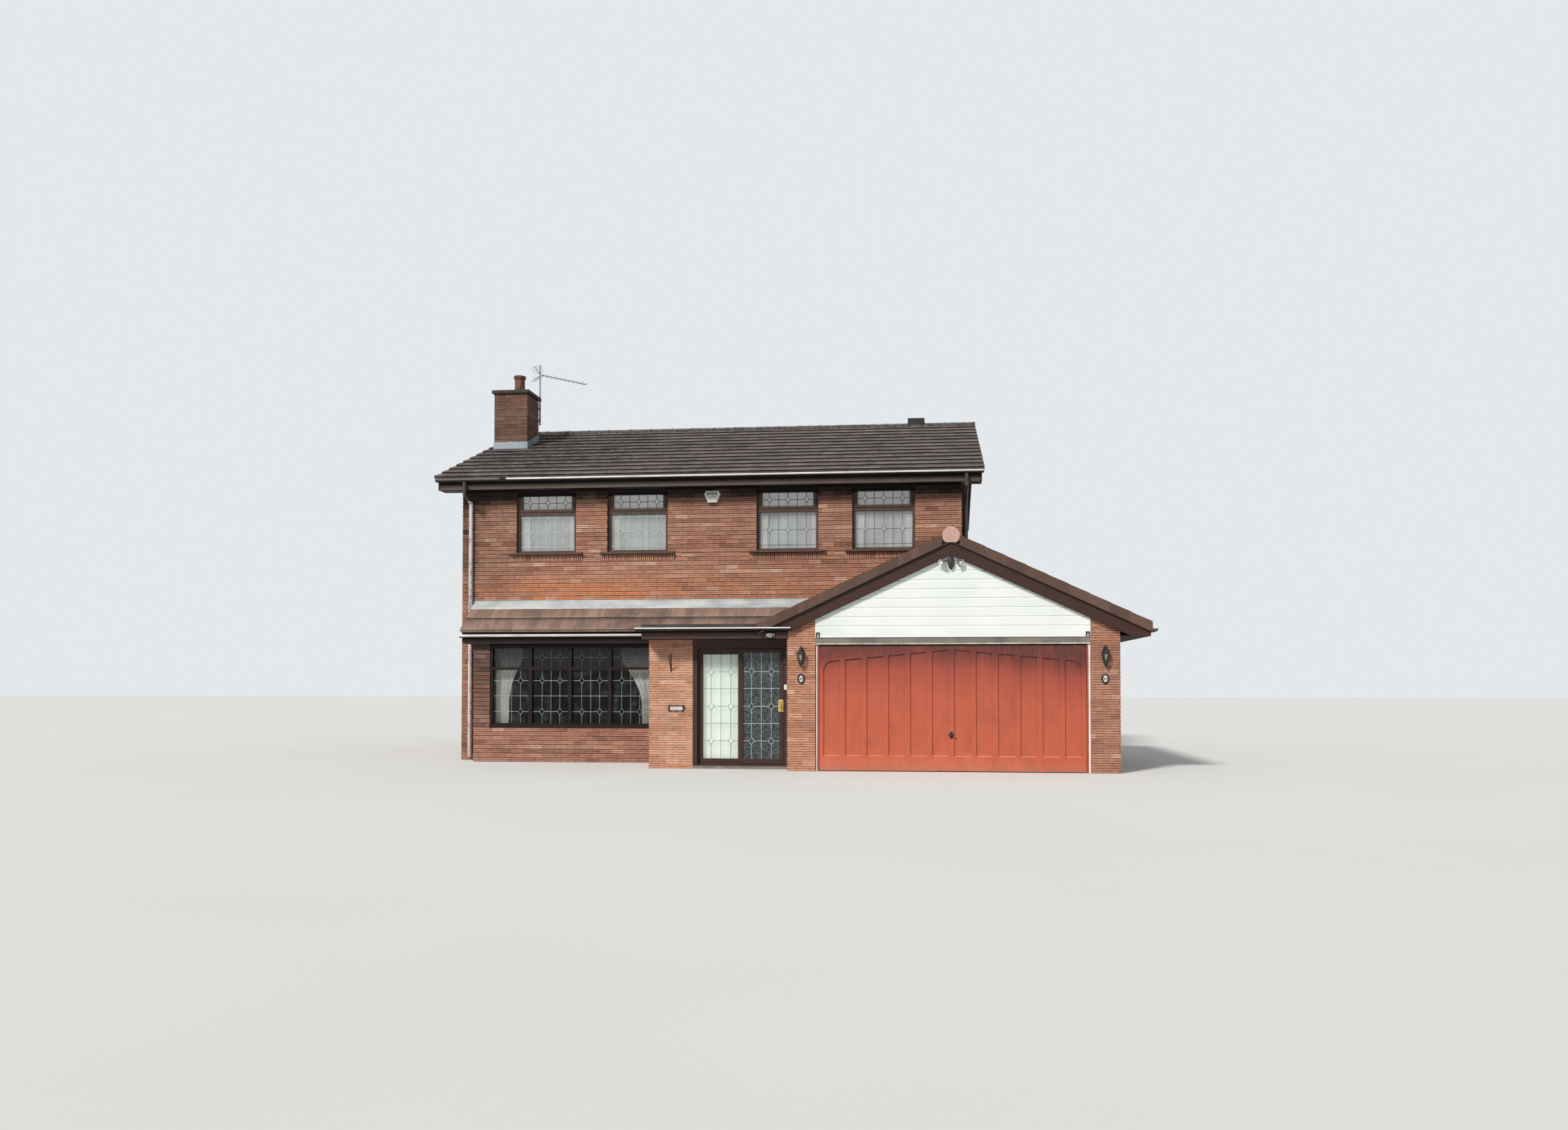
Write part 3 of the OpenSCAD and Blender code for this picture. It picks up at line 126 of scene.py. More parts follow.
def add(tree, kind, settings=None, inputs=None, stops=()):
    """Adds a node, sets its properties and its ramp's stops, and gives each input a value or
    links it to a node or socket."""
    made = tree.nodes.new(kind)
    for key, value in (settings or {}).items():
        setattr(made, key, value)
    for key, value in (inputs or {}).items():
        if isinstance(key, int):
            socket = made.inputs[key]
        else:
            socket = next(s for s in made.inputs if key == s.identifier
                          or (key == s.name and s.enabled))
        if isinstance(value, bpy.types.Node):
            value = next(s for s in value.outputs if s.enabled)
        if isinstance(value, bpy.types.NodeSocket):
            tree.links.new(value, socket)
        else:
            socket.default_value = value
    for at, code in stops:
        ramp = made.color_ramp.elements
        stop = next((s for s in ramp if s.position == at), None) or ramp.new(at)
        stop.color = srgb(code)
    return made


def blank(name, rough, **sockets):
    """A new material with its tree, its shader and its object coordinates; constants go on the
    shader."""
    material = bpy.data.materials.new(name)
    material.use_nodes = True
    tree = material.node_tree
    shader = tree.nodes["Principled BSDF"]
    shader.inputs["Roughness"].default_value = rough
    for key, value in sockets.items():
        shader.inputs[key.replace("_", " ").title().replace("Ior", "IOR")].default_value = value
    place = add(tree, "ShaderNodeTexCoord").outputs["Object"]
    return material, tree, shader, place


def cloud(tree, place, across, clear=(0.35, 0.65), detail=4, stretch=(1, 1, 1)):
    """Soft noise whose patches are about `across` metres wide, spread over 0 to 1 between two
    levels."""
    turned = add(tree, "ShaderNodeMapping", inputs={"Vector": place, "Scale": stretch})
    noise = add(tree, "ShaderNodeTexNoise",
                inputs={"Vector": turned, "Scale": 1 / across, "Detail": detail})
    return add(tree, "ShaderNodeMapRange",
               inputs={"Value": noise.outputs[0], "From Min": clear[0], "From Max": clear[1]})


def coats(tree, under, *layers):
    """Lays coats of colour one over another. Each is (colour, where it lies), and may add how
    strongly."""
    for over, share, *strength in layers:
        if strength:
            share = add(tree, "ShaderNodeMath", {"operation": "MULTIPLY"},
                        {0: share, 1: strength[0]})
        under, over = (srgb(colour) if isinstance(colour, str) else colour
                       for colour in (under, over))
        under = add(tree, "ShaderNodeMix", {"data_type": "RGBA"},
                    {"Factor_Float": share, "A_Color": under, "B_Color": over})
    return under


def surface(tree, shader, colour, height=None, depth=0.0):
    """Gives the shader its colour, and a bump of a real depth in metres."""
    tree.links.new(next(s for s in colour.outputs if s.enabled), shader.inputs["Base Color"])
    if height:
        bump = add(tree, "ShaderNodeBump",
                   inputs={"Height": height, "Distance": depth, "Strength": 1.0})
        tree.links.new(bump.outputs["Normal"], shader.inputs["Normal"])


# Materials

def facing_brick():
    """Wire-cut clay facing brick: each brick fired to its own tone, with a sandy dragged face."""
    material, tree, shader, place = blank("wire_cut_clay_brick", 0.92)
    tone, warm, soot, groove = (
        add(tree, "ShaderNodeAttribute", {"attribute_name": label}).outputs["Fac"]
        for label in ("tone", "warm", "soot", "groove"))
    fired = add(tree, "ShaderNodeValToRGB", inputs={"Fac": tone}, stops=(
        (0.0, "704b3f"), (0.2, "8f6353"), (0.42, "a87867"), (0.6, "b58672"), (0.8, "c3967f"),
        (1.0, "dbb39d")))
    # Soot over one half turns the brick near black: real soot on the stack, painted shade under the
    # eaves and on the bay's post.
    deep_soot_and_shade = add(tree, "ShaderNodeMapRange",
                inputs={"Value": soot, "From Min": 0.5, "From Max": 1.0})
    # Drag marks run along the face, drawn 15 mm apart so that they show; paler ones are sand.
    drag = cloud(tree, place, 0.020, (0.42, 0.7), 4, (0.28, 0.28, 1.3))
    pits = cloud(tree, place, 0.011, (0.56, 0.72), 3)
    sand = add(tree, "ShaderNodeMath", {"operation": "MULTIPLY"},
               {0: cloud(tree, place, 0.026, (0.5, 0.75), 3, (0.3, 0.3, 1.5)), 1: 0.32})
    clean = add(tree, "ShaderNodeMath", {"operation": "SUBTRACT"}, {0: 1.0, 1: soot})
    # The groove's colour is painted shade in the comb groove's hollow, broken in places.
    broken = add(tree, "ShaderNodeMath", {"operation": "MULTIPLY_ADD"},
                 {0: cloud(tree, place, 0.10, (0.35, 0.62), 4), 1: 0.60, 2: 0.35})
    bloom = cloud(tree, place, 0.55, (0.56, 0.78), 5)
    face = coats(tree, fired, ("d6885c", warm), (coats(tree, "54443c", ("120e0c", deep_soot_and_shade)), soot),
                 ("5f3d30", drag, 0.32), ("4a3026", pits, 0.38), ("d5a98e", sand, clean),
                 ("41291f", groove, broken), ("b49a88", bloom, 0.22))
    surface(tree, shader, face, cloud(tree, place, 0.006, (0.2, 0.8), 3), 0.0016)
    return material


def raked_mortar(name, dirty, clean, bare):
    """Raked lime and cement mortar outside, dark where it holds dirt and paler where it lies flush;
    on the front and rear walls it is painted near black under the eaves as shadow. Inside the rooms
    it is plaster."""
    material, tree, shader, place = blank(name, 0.95)
    axes = add(tree, "ShaderNodeSeparateXYZ", inputs={0: place}).outputs
    worn = cloud(tree, place, 0.30, (0.4, 0.66), 5)
    flush = cloud(tree, place, 0.24, (0.56, 0.70), 5, (0.5, 0.5, 1.6))
    depth = add(tree, "ShaderNodeMath", {"operation": "COMPARE"},
                {0: axes["Y"], 1: MAIN_D / 2, 2: MAIN_D / 2 - 0.02})
    long_side = add(tree, "ShaderNodeMath", {"operation": "SUBTRACT"}, {0: 1.0, 1: depth})
    # Painted eave shadow.
    eave = add(tree, "ShaderNodeMapRange",
               inputs={"Value": axes["Z"], "From Min": 4.56, "From Max": 4.70})
    inside = 1.0
    for axis, low, high in (("X", 0.1 - MAIN_X, MAIN_X - 0.1), ("Y", 0.1, MAIN_D - 0.1),
                            ("Z", -1.0, 4.75)):
        within = add(tree, "ShaderNodeMath", {"operation": "COMPARE"},
                     {0: axes[axis], 1: (low + high) / 2, 2: (high - low) / 2})
        inside = add(tree, "ShaderNodeMath", {"operation": "MULTIPLY"}, {0: inside, 1: within})
    face = coats(tree, dirty, (clean, worn), (bare, flush, 0.7), ("0e0b0a", eave, long_side),
                 ("cfc8ba", inside))
    surface(tree, shader, face, cloud(tree, place, 0.008, (0.2, 0.8), 3), 0.002)
    return material


def concrete_tile(name, pale, mid, dark, moss, moss_over, stain=None):
    """Through-coloured extruded concrete roof tile, its granules worn thin, with rain stains,
    lichen and moss; dirt and painted shade darken it round the noses, and wear and painted
    highlight pale the noses' edges."""
    material, tree, shader, place = blank(name, 0.9)
    tone, grime_and_shade, worn = (add(tree, "ShaderNodeAttribute", {"attribute_name": label}).outputs["Fac"]
                         for label in ("tone", "grime_and_shade", "worn"))
    body = add(tree, "ShaderNodeValToRGB", inputs={"Fac": tone},
               stops=((0.0, dark), (0.5, mid), (1.0, pale)))
    speckle = cloud(tree, place, 0.012, (0.45, 0.7), 2)
    streak = cloud(tree, place, 0.22, (0.42, 0.66), 6, (1.3, 0.35, 0.35))
    growth = cloud(tree, place, 0.13, (0.40, 0.52), 7)
    wear_and_highlight = add(tree, "ShaderNodeMath", {"operation": "MULTIPLY"},
                  {0: worn, 1: cloud(tree, place, 0.5, (0.30, 0.62), 4)})
    # The dark coat is dirt and painted shade; the pale coat on the nose edges is wear and painted
    # highlight.
    face = coats(tree, body, (pale, speckle, 0.35), (stain or dark, streak, 0.65),
                 (moss, growth, moss_over(tree, place)), ("1b1816", grime_and_shade, 0.92),
                 ("a39a92", wear_and_highlight, 0.75))
    surface(tree, shader, face, cloud(tree, place, 0.009, (0.2, 0.8), 4), 0.002)
    return material


def ridge_tile():
    """Concrete ridge tile: wind and sun bleach its crown, and its flanks are as dark as the
    slopes."""
    material, tree, shader, place = blank("extruded_concrete_ridge", 0.9)
    height = add(tree, "ShaderNodeSeparateXYZ", inputs={0: place}).outputs["Z"]
    wander = add(tree, "ShaderNodeMath", {"operation": "MULTIPLY_ADD"},
                 {0: cloud(tree, place, 0.12, (0.3, 0.7), 4), 1: 0.016, 2: height})
    crown = add(tree, "ShaderNodeMapRange",
                inputs={"Value": wander, "From Min": RIDGE.z + 0.052, "From Max": RIDGE.z + 0.068})
    face = coats(tree, "5e544f", ("332d2a", cloud(tree, place, 0.05, (0.4, 0.6), 5)),
                 ("8b9095", crown))
    surface(tree, shader, face, cloud(tree, place, 0.009, (0.2, 0.8), 4), 0.002)
    return material


def painted_timber(name, base, worn, grain_axis="", dirt="3a302c", painted_shadow_bands=()):
    """Planed softwood under old brown stain: grain lines show, and the film is chalky in patches.
    Between the two heights of each painted shadow band, under a gutter or the eaves, the stain is
    painted near black as shadow."""
    material, tree, shader, place = blank(name, 0.6, specular_ior_level=0.18)
    grain = cloud(tree, place, 0.012, (0.35, 0.7), 3,
                  [0.05 if axis == grain_axis else 1.0 for axis in "XYZ"])
    chalk = cloud(tree, place, 0.35, (0.45, 0.75), 4)
    # Undersides are painted near black as shade, since little light reaches them.
    facing = add(tree, "ShaderNodeNewGeometry").outputs["True Normal"]
    down = add(tree, "ShaderNodeSeparateXYZ", inputs={0: facing}).outputs["Z"]
    under = add(tree, "ShaderNodeMapRange",
                inputs={"Value": down, "From Min": -0.3, "From Max": -0.9})
    face = coats(tree, base, (worn, chalk, 0.5), (dirt, grain, 0.4), ("130e0d", under))
    height = add(tree, "ShaderNodeSeparateXYZ", inputs={0: place}).outputs["Z"]
    for low, high in painted_shadow_bands:
        over = add(tree, "ShaderNodeMapRange",
                   inputs={"Value": height, "From Min": low - 0.01, "From Max": low + 0.01})
        below = add(tree, "ShaderNodeMath", {"operation": "LESS_THAN"}, {0: height, 1: high})
        face = coats(tree, face, ("0d0a09", over, below))
    surface(tree, shader, face, grain, 0.0008)
    return material


def faded_door_paint():
    """Brushed oil paint on timber boards: brick red, sun-faded to orange low down and salmon at
    the foot."""
    material, tree, shader, place = blank("brushed_oil_paint_faded_red", 0.6)
    axes = add(tree, "ShaderNodeSeparateXYZ", inputs={0: place}).outputs
    wander = cloud(tree, place, 0.5, (0.2, 0.8), 4, (1.0, 1.0, 0.3))
    level = add(tree, "ShaderNodeMath", {"operation": "MULTIPLY_ADD"},
                {0: wander, 1: 0.22, 2: axes["Z"]})
    # Painted shade of a tree over the upper right of the door.
    shaded = add(tree, "ShaderNodeMapRange",
                 inputs={"Value": axes["X"], "From Min": 4.7, "From Max": 5.9, "To Min": 0.0,
                         "To Max": 0.15})
    level = add(tree, "ShaderNodeMath", {"operation": "ADD"}, {0: level, 1: shaded})
    level = add(tree, "ShaderNodeMath", {"operation": "DIVIDE"}, {0: level, 1: 2.1})
    # The top stops darken the door towards its head, partly paint less faded there and partly
    # painted shadow under the beam.
    film = add(tree, "ShaderNodeValToRGB", inputs={"Fac": level}, stops=(
        (0.0, "c87155"), (0.12, "c36347"), (0.2, "ba593c"), (0.6, "b45439"), (0.8, "9e4433"),
        (0.93, "5e261d"), (1.0, "46201a")))
    streaks = cloud(tree, place, 0.03, (0.4, 0.75), 4, (1.0, 1.0, 0.08))
    smudges = cloud(tree, place, 0.16, (0.50, 0.74), 6, (1.0, 1.0, 0.5))
    # Up-facing ledges are painted lighter as highlight, and down-facing faces darker as shade.
    facing = add(tree, "ShaderNodeNewGeometry").outputs["True Normal"]
    up = add(tree, "ShaderNodeSeparateXYZ", inputs={0: facing}).outputs["Z"]
    ledge_highlight = add(tree, "ShaderNodeMapRange", inputs={"Value": up, "From Min": 0.3, "From Max": 0.8})
    soffit = add(tree, "ShaderNodeMapRange",
                 inputs={"Value": up, "From Min": -0.3, "From Max": -0.8})
    # Splashed dirt is full at the ground and gone 0.16 m up.
    low = add(tree, "ShaderNodeMapRange",
              inputs={"Value": axes["Z"], "From Min": 0.0, "From Max": 0.16, "To Min": 1.0,
                      "To Max": 0.0})
    splashed = add(tree, "ShaderNodeMath", {"operation": "MULTIPLY"},
                   {0: low, 1: cloud(tree, place, 0.08, (0.3, 0.6))})
    face = coats(tree, film, ("a04c39", streaks, 0.30), ("87402f", smudges, 0.38),
                 ("d99a80", ledge_highlight, 0.8), ("431f18", soffit), ("8c6a58", splashed, 0.6))
    surface(tree, shader, face, cloud(tree, place, 0.006, (0.3, 0.7), 3, (1.0, 1.0, 0.06)), 0.0006)
    return material


def glossed_post():
    """Glossed softwood: white on the outer part, the door's red on the inner part, and black along
    the left post's outer edge, as painted shadow next to the brick."""
    material, tree, shader, place = blank("glossed_softwood_post", 0.5)
    across = add(tree, "ShaderNodeSeparateXYZ", inputs={0: place}).outputs["X"]
    inner = add(tree, "ShaderNodeMath", {"operation": "COMPARE"},
                {0: across, 1: GARAGE_MID, 2: DOOR_HIGH.x - GARAGE_MID + 0.034})
    gap = add(tree, "ShaderNodeMath", {"operation": "LESS_THAN"},
              {0: across, 1: DOOR_LOW.x - 0.048})
    face = coats(tree, "eceae4", ("cfccc4", cloud(tree, place, 0.3, (0.4, 0.7), 4)),
                 ("a24a37", inner), ("231b19", gap))
    surface(tree, shader, face, cloud(tree, place, 0.02, (0.3, 0.7), 3, (1, 1, 0.1)), 0.0005)
    return material


def sheet_lead(name, grey, bloomed):
    """Milled sheet lead, dressed by hand: blue-grey with pale carbonate bloom and soft dents."""
    material, tree, shader, place = blank(name, 0.6, metallic=0.15)
    bloom = cloud(tree, place, 0.35, (0.35, 0.6), 5, (0.5, 1.0, 1.0))
    surface(tree, shader, coats(tree, grey, (bloomed, bloom)),
            cloud(tree, place, 0.07, (0.3, 0.7), 3), 0.004)
    return material


def moulded_plastic(name, base, faded, rough, patch=0.4):
    """Extruded rigid vinyl or moulded plastic, dulled by the sun in broad patches."""
    material, tree, shader, place = blank(name, rough)
    face = coats(tree, base, (faded, cloud(tree, place, patch, (0.4, 0.7), 4)))
    surface(tree, shader, face, cloud(tree, place, 0.004, (0.3, 0.7), 2), 0.0002)
    return material


def gutter_vinyl():
    """Extruded brown vinyl: a near-white band along the rim, partly sun bleaching and partly
    painted highlight; the rest stays dark and satin."""
    material, tree, shader, place = blank("extruded_vinyl_gutter", 0.55, specular_ior_level=0.25)
    bleach_and_highlight = add(tree, "ShaderNodeAttribute", {"attribute_name": "bleach_and_highlight"}).outputs["Fac"]
    # The first length of the main gutter is newer, and its rim has hardly any of the pale band.
    axes = add(tree, "ShaderNodeSeparateXYZ", inputs={0: place}).outputs
    first = add(tree, "ShaderNodeMath", {"operation": "LESS_THAN"}, {0: axes["X"], 1: -3.60})
    high = add(tree, "ShaderNodeMath", {"operation": "GREATER_THAN"}, {0: axes["Z"], 1: 4.0})
    newer = add(tree, "ShaderNodeMath", {"operation": "MULTIPLY"}, {0: first, 1: high})
    older = add(tree, "ShaderNodeMath", {"operation": "MULTIPLY_ADD"}, {0: newer, 1: -0.8, 2: 1.0})
    bleach_and_highlight = add(tree, "ShaderNodeMath", {"operation": "MULTIPLY"}, {0: bleach_and_highlight, 1: older})
    chalk = add(tree, "ShaderNodeMath", {"operation": "MULTIPLY_ADD"},
                {0: cloud(tree, place, 0.25, (0.3, 0.7), 4, (1.0, 4.0, 4.0)), 1: 0.3, 2: 0.75})
    face = coats(tree, "1c1817", ("302a29", cloud(tree, place, 0.4, (0.4, 0.7), 4)),
                 ("f4f2f0", bleach_and_highlight, chalk))
    surface(tree, shader, face, cloud(tree, place, 0.004, (0.3, 0.7), 2), 0.0002)
    return material


def pipe_plastic():
    """Painted downpipe: brown swan neck under the eaves, grey-white paint on the left pipe's
    straight run."""
    material, tree, shader, place = blank("painted_pipe_plastic", 0.5)
    axes = add(tree, "ShaderNodeSeparateXYZ", inputs={0: place}).outputs
    upper = add(tree, "ShaderNodeMath", {"operation": "GREATER_THAN"}, {0: axes["Z"], 1: 4.62})
    right = add(tree, "ShaderNodeMath", {"operation": "GREATER_THAN"}, {0: axes["X"], 1: 0.0})
    brown = add(tree, "ShaderNodeMath", {"operation": "MAXIMUM"}, {0: upper, 1: right})
    flaking = cloud(tree, place, 0.06, (0.5, 0.66), 5, (1, 1, 0.4))
    surface(tree, shader, coats(tree, "cbc6ca", ("958b8a", flaking), ("3b2f2c", brown)))
    return material


def window_glass(name, film, bright, veil, ior=1.9, patch=(0.6, 0.35, 0.65),
                 top=(4.45, "f6f7f5", 0.08)):
    """Drawn sheet glass: a sharp reflection over a thin veil that hides part of the room; the
    veil's colour and its patches are painted reflection of sky and trees, with some dust. `patch`
    is how wide the film's patches are and between which noise levels they lie. `top` gives a height
    above which the film takes another colour and is thicker, that colour and how much thicker it
    is."""
    material, tree, shader, place = blank(name, 0.03, ior=ior)
    height = add(tree, "ShaderNodeSeparateXYZ", inputs={0: place}).outputs["Z"]
    high = add(tree, "ShaderNodeMath", {"operation": "GREATER_THAN"}, {0: height, 1: top[0]})
    face = coats(tree, film, (bright, cloud(tree, place, patch[0], patch[1:], 5)), (top[1], high))
    surface(tree, shader, face, cloud(tree, place, 0.45, (0.3, 0.7), 1), 0.0012)
    thick = add(tree, "ShaderNodeMath", {"operation": "MULTIPLY_ADD"},
                {0: high, 1: top[2], 2: veil})
    tree.links.new(thick.outputs[0], shader.inputs["Alpha"])
    return material


def woven_cloth(name, light, shade, thread):
    """Plain-woven polyester voile or lining; the threads are drawn coarse so that they show."""
    material, tree, shader, place = blank(name, 0.9, sheen_weight=0.2)
    weave = add(tree, "ShaderNodeTexWave", {"bands_direction": "X"},
                {"Vector": place, "Scale": 1 / thread / 6.28, "Distortion": 1.5})
    soft = cloud(tree, place, 0.25, (0.3, 0.7), 3)
    surface(tree, shader,
            coats(tree, light, (shade, soft, 0.5), (shade, weave.outputs["Fac"], 0.12)))
    return material


def cast_iron():
    """Cast iron under black enamel: satin black, a little grey where dust settles."""
    material, tree, shader, place = blank("black_enamelled_cast_iron", 0.42)
    face = coats(tree, "191817", ("3b3936", cloud(tree, place, 0.03, (0.45, 0.7), 4)))
    surface(tree, shader, face, cloud(tree, place, 0.004, (0.3, 0.7), 3), 0.0006)
    return material


def metal(name, base, tarnish, rough, patch, metallic=0.85):
    """Drawn or rolled metal with a dull film in patches. Under paint it is hardly metallic."""
    material, tree, shader, place = blank(name, rough, metallic=metallic)
    face = coats(tree, base, (tarnish, cloud(tree, place, patch, (0.4, 0.7), 4)))
    surface(tree, shader, face, cloud(tree, place, 0.005, (0.3, 0.7), 3), 0.0003)
    return material


def aerial_tube():
    """Drawn aluminium tube: dull grey in the open air, and dark brown with soot where it is
    strapped to the stack."""
    material, tree, shader, place = blank("drawn_aluminium_aerial", 0.5, metallic=0.5)
    height = add(tree, "ShaderNodeSeparateXYZ", inputs={0: place}).outputs["Z"]
    open_air = add(tree, "ShaderNodeMapRange",
                   inputs={"Value": height, "From Min": 7.08, "From Max": 7.20})
    face = coats(tree, "463e3a", ("9a9da2", open_air))
    surface(tree, shader, face, cloud(tree, place, 0.01, (0.3, 0.7), 3), 0.0004)
    return material


def cast_concrete(name, base, stain):
    """Concrete struck off a board mould: grey, pitted and stained by rain."""
    material, tree, shader, place = blank(name, 0.93)
    face = coats(tree, base, (stain, cloud(tree, place, 0.20, (0.35, 0.68), 6)),
                 ("6d675e", cloud(tree, place, 0.01, (0.5, 0.7), 3), 0.4))
    surface(tree, shader, face, cloud(tree, place, 0.012, (0.25, 0.75), 5), 0.003)
    return material


def fired_clay():
    """Thrown terracotta: orange-brown under soot, with a dark rim."""
    material, tree, shader, place = blank("thrown_terracotta", 0.85)
    height = add(tree, "ShaderNodeSeparateXYZ", inputs={0: place}).outputs["Z"]
    rim = add(tree, "ShaderNodeMapRange",
              inputs={"Value": height, "From Min": 7.42, "From Max": 7.56})
    soot = cloud(tree, place, 0.07, (0.4, 0.62), 5, (1, 1, 0.3))
    face = coats(tree, "8d5842", ("4c3c35", soot), ("4a3c36", rim, 0.6))
    surface(tree, shader, face, cloud(tree, place, 0.01, (0.3, 0.7), 3), 0.001)
    return material


def moss_by_stack(tree, place):
    """Moss lies thick round the stack and thins out along the slope; a little grows everywhere."""
    where = add(tree, "ShaderNodeVectorMath", {"operation": "DISTANCE"},
                {0: place, 1: (-3.4, 1.6, 5.8)})
    return add(tree, "ShaderNodeMapRange",
               inputs={"Value": where.outputs["Value"], "From Min": 1.0, "From Max": 2.8,
                       "To Min": 1.0, "To Max": 0.30})


def moss_in_patches(tree, place):
    """Moss in scattered patches, nowhere thick."""
    return add(tree, "ShaderNodeMath", {"operation": "MULTIPLY"},
               {0: cloud(tree, place, 0.8, (0.5, 0.75), 3), 1: 0.5})


BRICK = facing_brick()
MORTAR = raked_mortar("raked_mortar_and_plaster", "3f2b24", "5a4136", "8a6855")
PIER_MORTAR = raked_mortar("pier_mortar_and_plaster", "6b4a3c", "8a6350", "c9a48e")
PORCH_MORTAR = raked_mortar("flush_mortar_and_plaster", "85604f", "a37a66", "cfae9b")
GREY_TILE = concrete_tile("extruded_concrete_tile_grey", "7b6c69", "6b5c5a", "5a4c4a", "221d1b",
                          moss_by_stack, "473b39")
RIDGE_TILE = ridge_tile()
BROWN_TILE = concrete_tile("extruded_concrete_tile_brown", "9c8071", "907567", "7f675a", "4f443b",
                           moss_in_patches, "62504a")
VERGE_TILE = concrete_tile("extruded_concrete_verge", "674d43", "5d463c", "4f3b33", "3a302b",
                           moss_in_patches)
CAP_TILE = concrete_tile("extruded_concrete_cap", "cba99d", "c19c90", "bd988c", "9c8579",
                         moss_in_patches)
# Heights between which timber is painted near black as shadow: under the eaves, under the gutters
# and under the lean-to and porch.
UNDER_EAVES, UNDER_GUTTER, UNDER_SOFFIT = (4.70, 5.0), (2.166, 2.4), (2.02, 2.4)
TIMBER_LONG = painted_timber("stained_softwood_long", "584b47", "6b5f5c", "X",
                             painted_shadow_bands=((4.885, 5.2), UNDER_GUTTER))
SILL_TIMBER = painted_timber("stained_softwood_sill", "5b453b", "6f594e", "X")
# The lean-to's fascia is stained darker than the main fascia, partly as painted shade under its
# gutter.
LEAN_FASCIA = painted_timber("stained_softwood_lean_to", "34292a", "413536", "X",
                             painted_shadow_bands=[(2.128, 2.4)])
PORCH_FASCIA = painted_timber("stained_softwood_porch_fascia", "47342f", "583f3a", "X",
                              painted_shadow_bands=[UNDER_GUTTER])
# The bay's frame stain is the porch frame's made near black, as painted shade under the lean-to.
BAY_TIMBER_IN_SHADE = painted_timber("stained_softwood_bay_in_shade", "211816", "2f2422", "Z", "150f0e",
                            [UNDER_SOFFIT])
TIMBER_TALL = painted_timber("stained_softwood_tall", "57443b", "6a564d", "Z",
                             painted_shadow_bands=[UNDER_EAVES])
DARK_TIMBER = painted_timber("stained_softwood_dark", "41302d", "55413e", "Z", "271b1a",
                             [UNDER_SOFFIT])
BARGE = painted_timber("stained_softwood_barge", "3f2a23", "4c342c")
BOARDS = painted_timber("planed_floor_board", "8f7757", "a58c69", "X", "5e4c37")
DOOR_PAINT = faded_door_paint()
POST_PAINT = glossed_post()
LEAD = sheet_lead("dressed_sheet_lead", "9b9fa1", "c2c4c5")
STACK_LEAD = sheet_lead("dressed_sheet_lead_collar", "6f7c88", "97a3ac")
GUTTER = gutter_vinyl()
PIPE = pipe_plastic()
WHITE_BOARD = moulded_plastic("extruded_white_vinyl_board", "e6eae6", "d6dcd8", 0.45, 1.2)
WHITE_CASE = moulded_plastic("moulded_white_case", "e4e3dd", "cfccc2", 0.4, 0.2)
GREY_CASE = moulded_plastic("moulded_grey_case", "8f8a90", "6c686c", 0.4, 0.08)
DARK_SLOT = moulded_plastic("black_moulded_slot", "1f1d1c", "2b2927", 0.6)
PLATE_ENAMEL = moulded_plastic("enamelled_plate_face", "d2c2ba", "c0b2aa", 0.4, 0.1)
FELT = cast_concrete("mineral_roofing_felt", "4c4440", "3a3432")
CONCRETE = cast_concrete("board_cast_concrete", "8b8780", "6b665f")
CAP_STONE = cast_concrete("weathered_cap_concrete", "4a433f", "332e2b")
VENT_CLAY = cast_concrete("charcoal_vent_terminal", "322e2f", "232022")
# Painted reflections: pale patches of trees on the bay glass, a mottle on the door glass, and a
# pale sky veil on the upper windows that is whiter in their top lights.
GLASS = window_glass("drawn_sheet_glass", "14181a", "6a6e6a", 0.16, 1.5, (0.11, 0.50, 0.74),
                     (1.62, "171918", 0.32))
DOOR_GLASS = window_glass("patterned_sheet_glass", "1b1f21", "7a8387", 0.47, 1.7,
                          (0.030, 0.38, 0.72))
DUST_AND_SKY_GLASS = window_glass("sheet_glass_dust_and_painted_sky", "9ca1a1", "b9bebd", 0.32)
CLEAR_GLASS = window_glass("clean_sheet_glass", "e0ece2", "ecf6ee", 0.24)
LANTERN_GLASS = window_glass("seeded_lantern_glass", "2c3232", "4b5352", 0.25)
NET = woven_cloth("voile_net", "dce0e0", "c2c7c7", 0.004)
CURTAIN = woven_cloth("lined_curtain", "ffffff", "dcdcd2", 0.005)
VALANCE = woven_cloth("net_heading", "ffffff", "eceeec", 0.004)
PORCH_CLOTH = woven_cloth("porch_curtain", "fbfffb", "e8f6ec", 0.005)
DRAPE = woven_cloth("lined_drape", "ffffff", "f0f2ee", 0.005)
IRON = cast_iron()
BRASS = metal("polished_brass", "e2c681", "b59752", 0.32, 0.05)
ZINC = metal("galvanised_steel", "9a9c9c", "6f7172", 0.45, 0.06)
AERIAL = aerial_tube()
REFLECTOR = metal("spun_aluminium_reflector", "dfe2e6", "b4b8bd", 0.35, 0.05)
BEAM = metal("painted_steel_beam", "7b766c", "5b564f", 0.6, 0.4, 0.0)
BEAM_LIP = metal("worn_steel_lip", "bdb9b1", "8f8b84", 0.6, 0.2, 0.0)
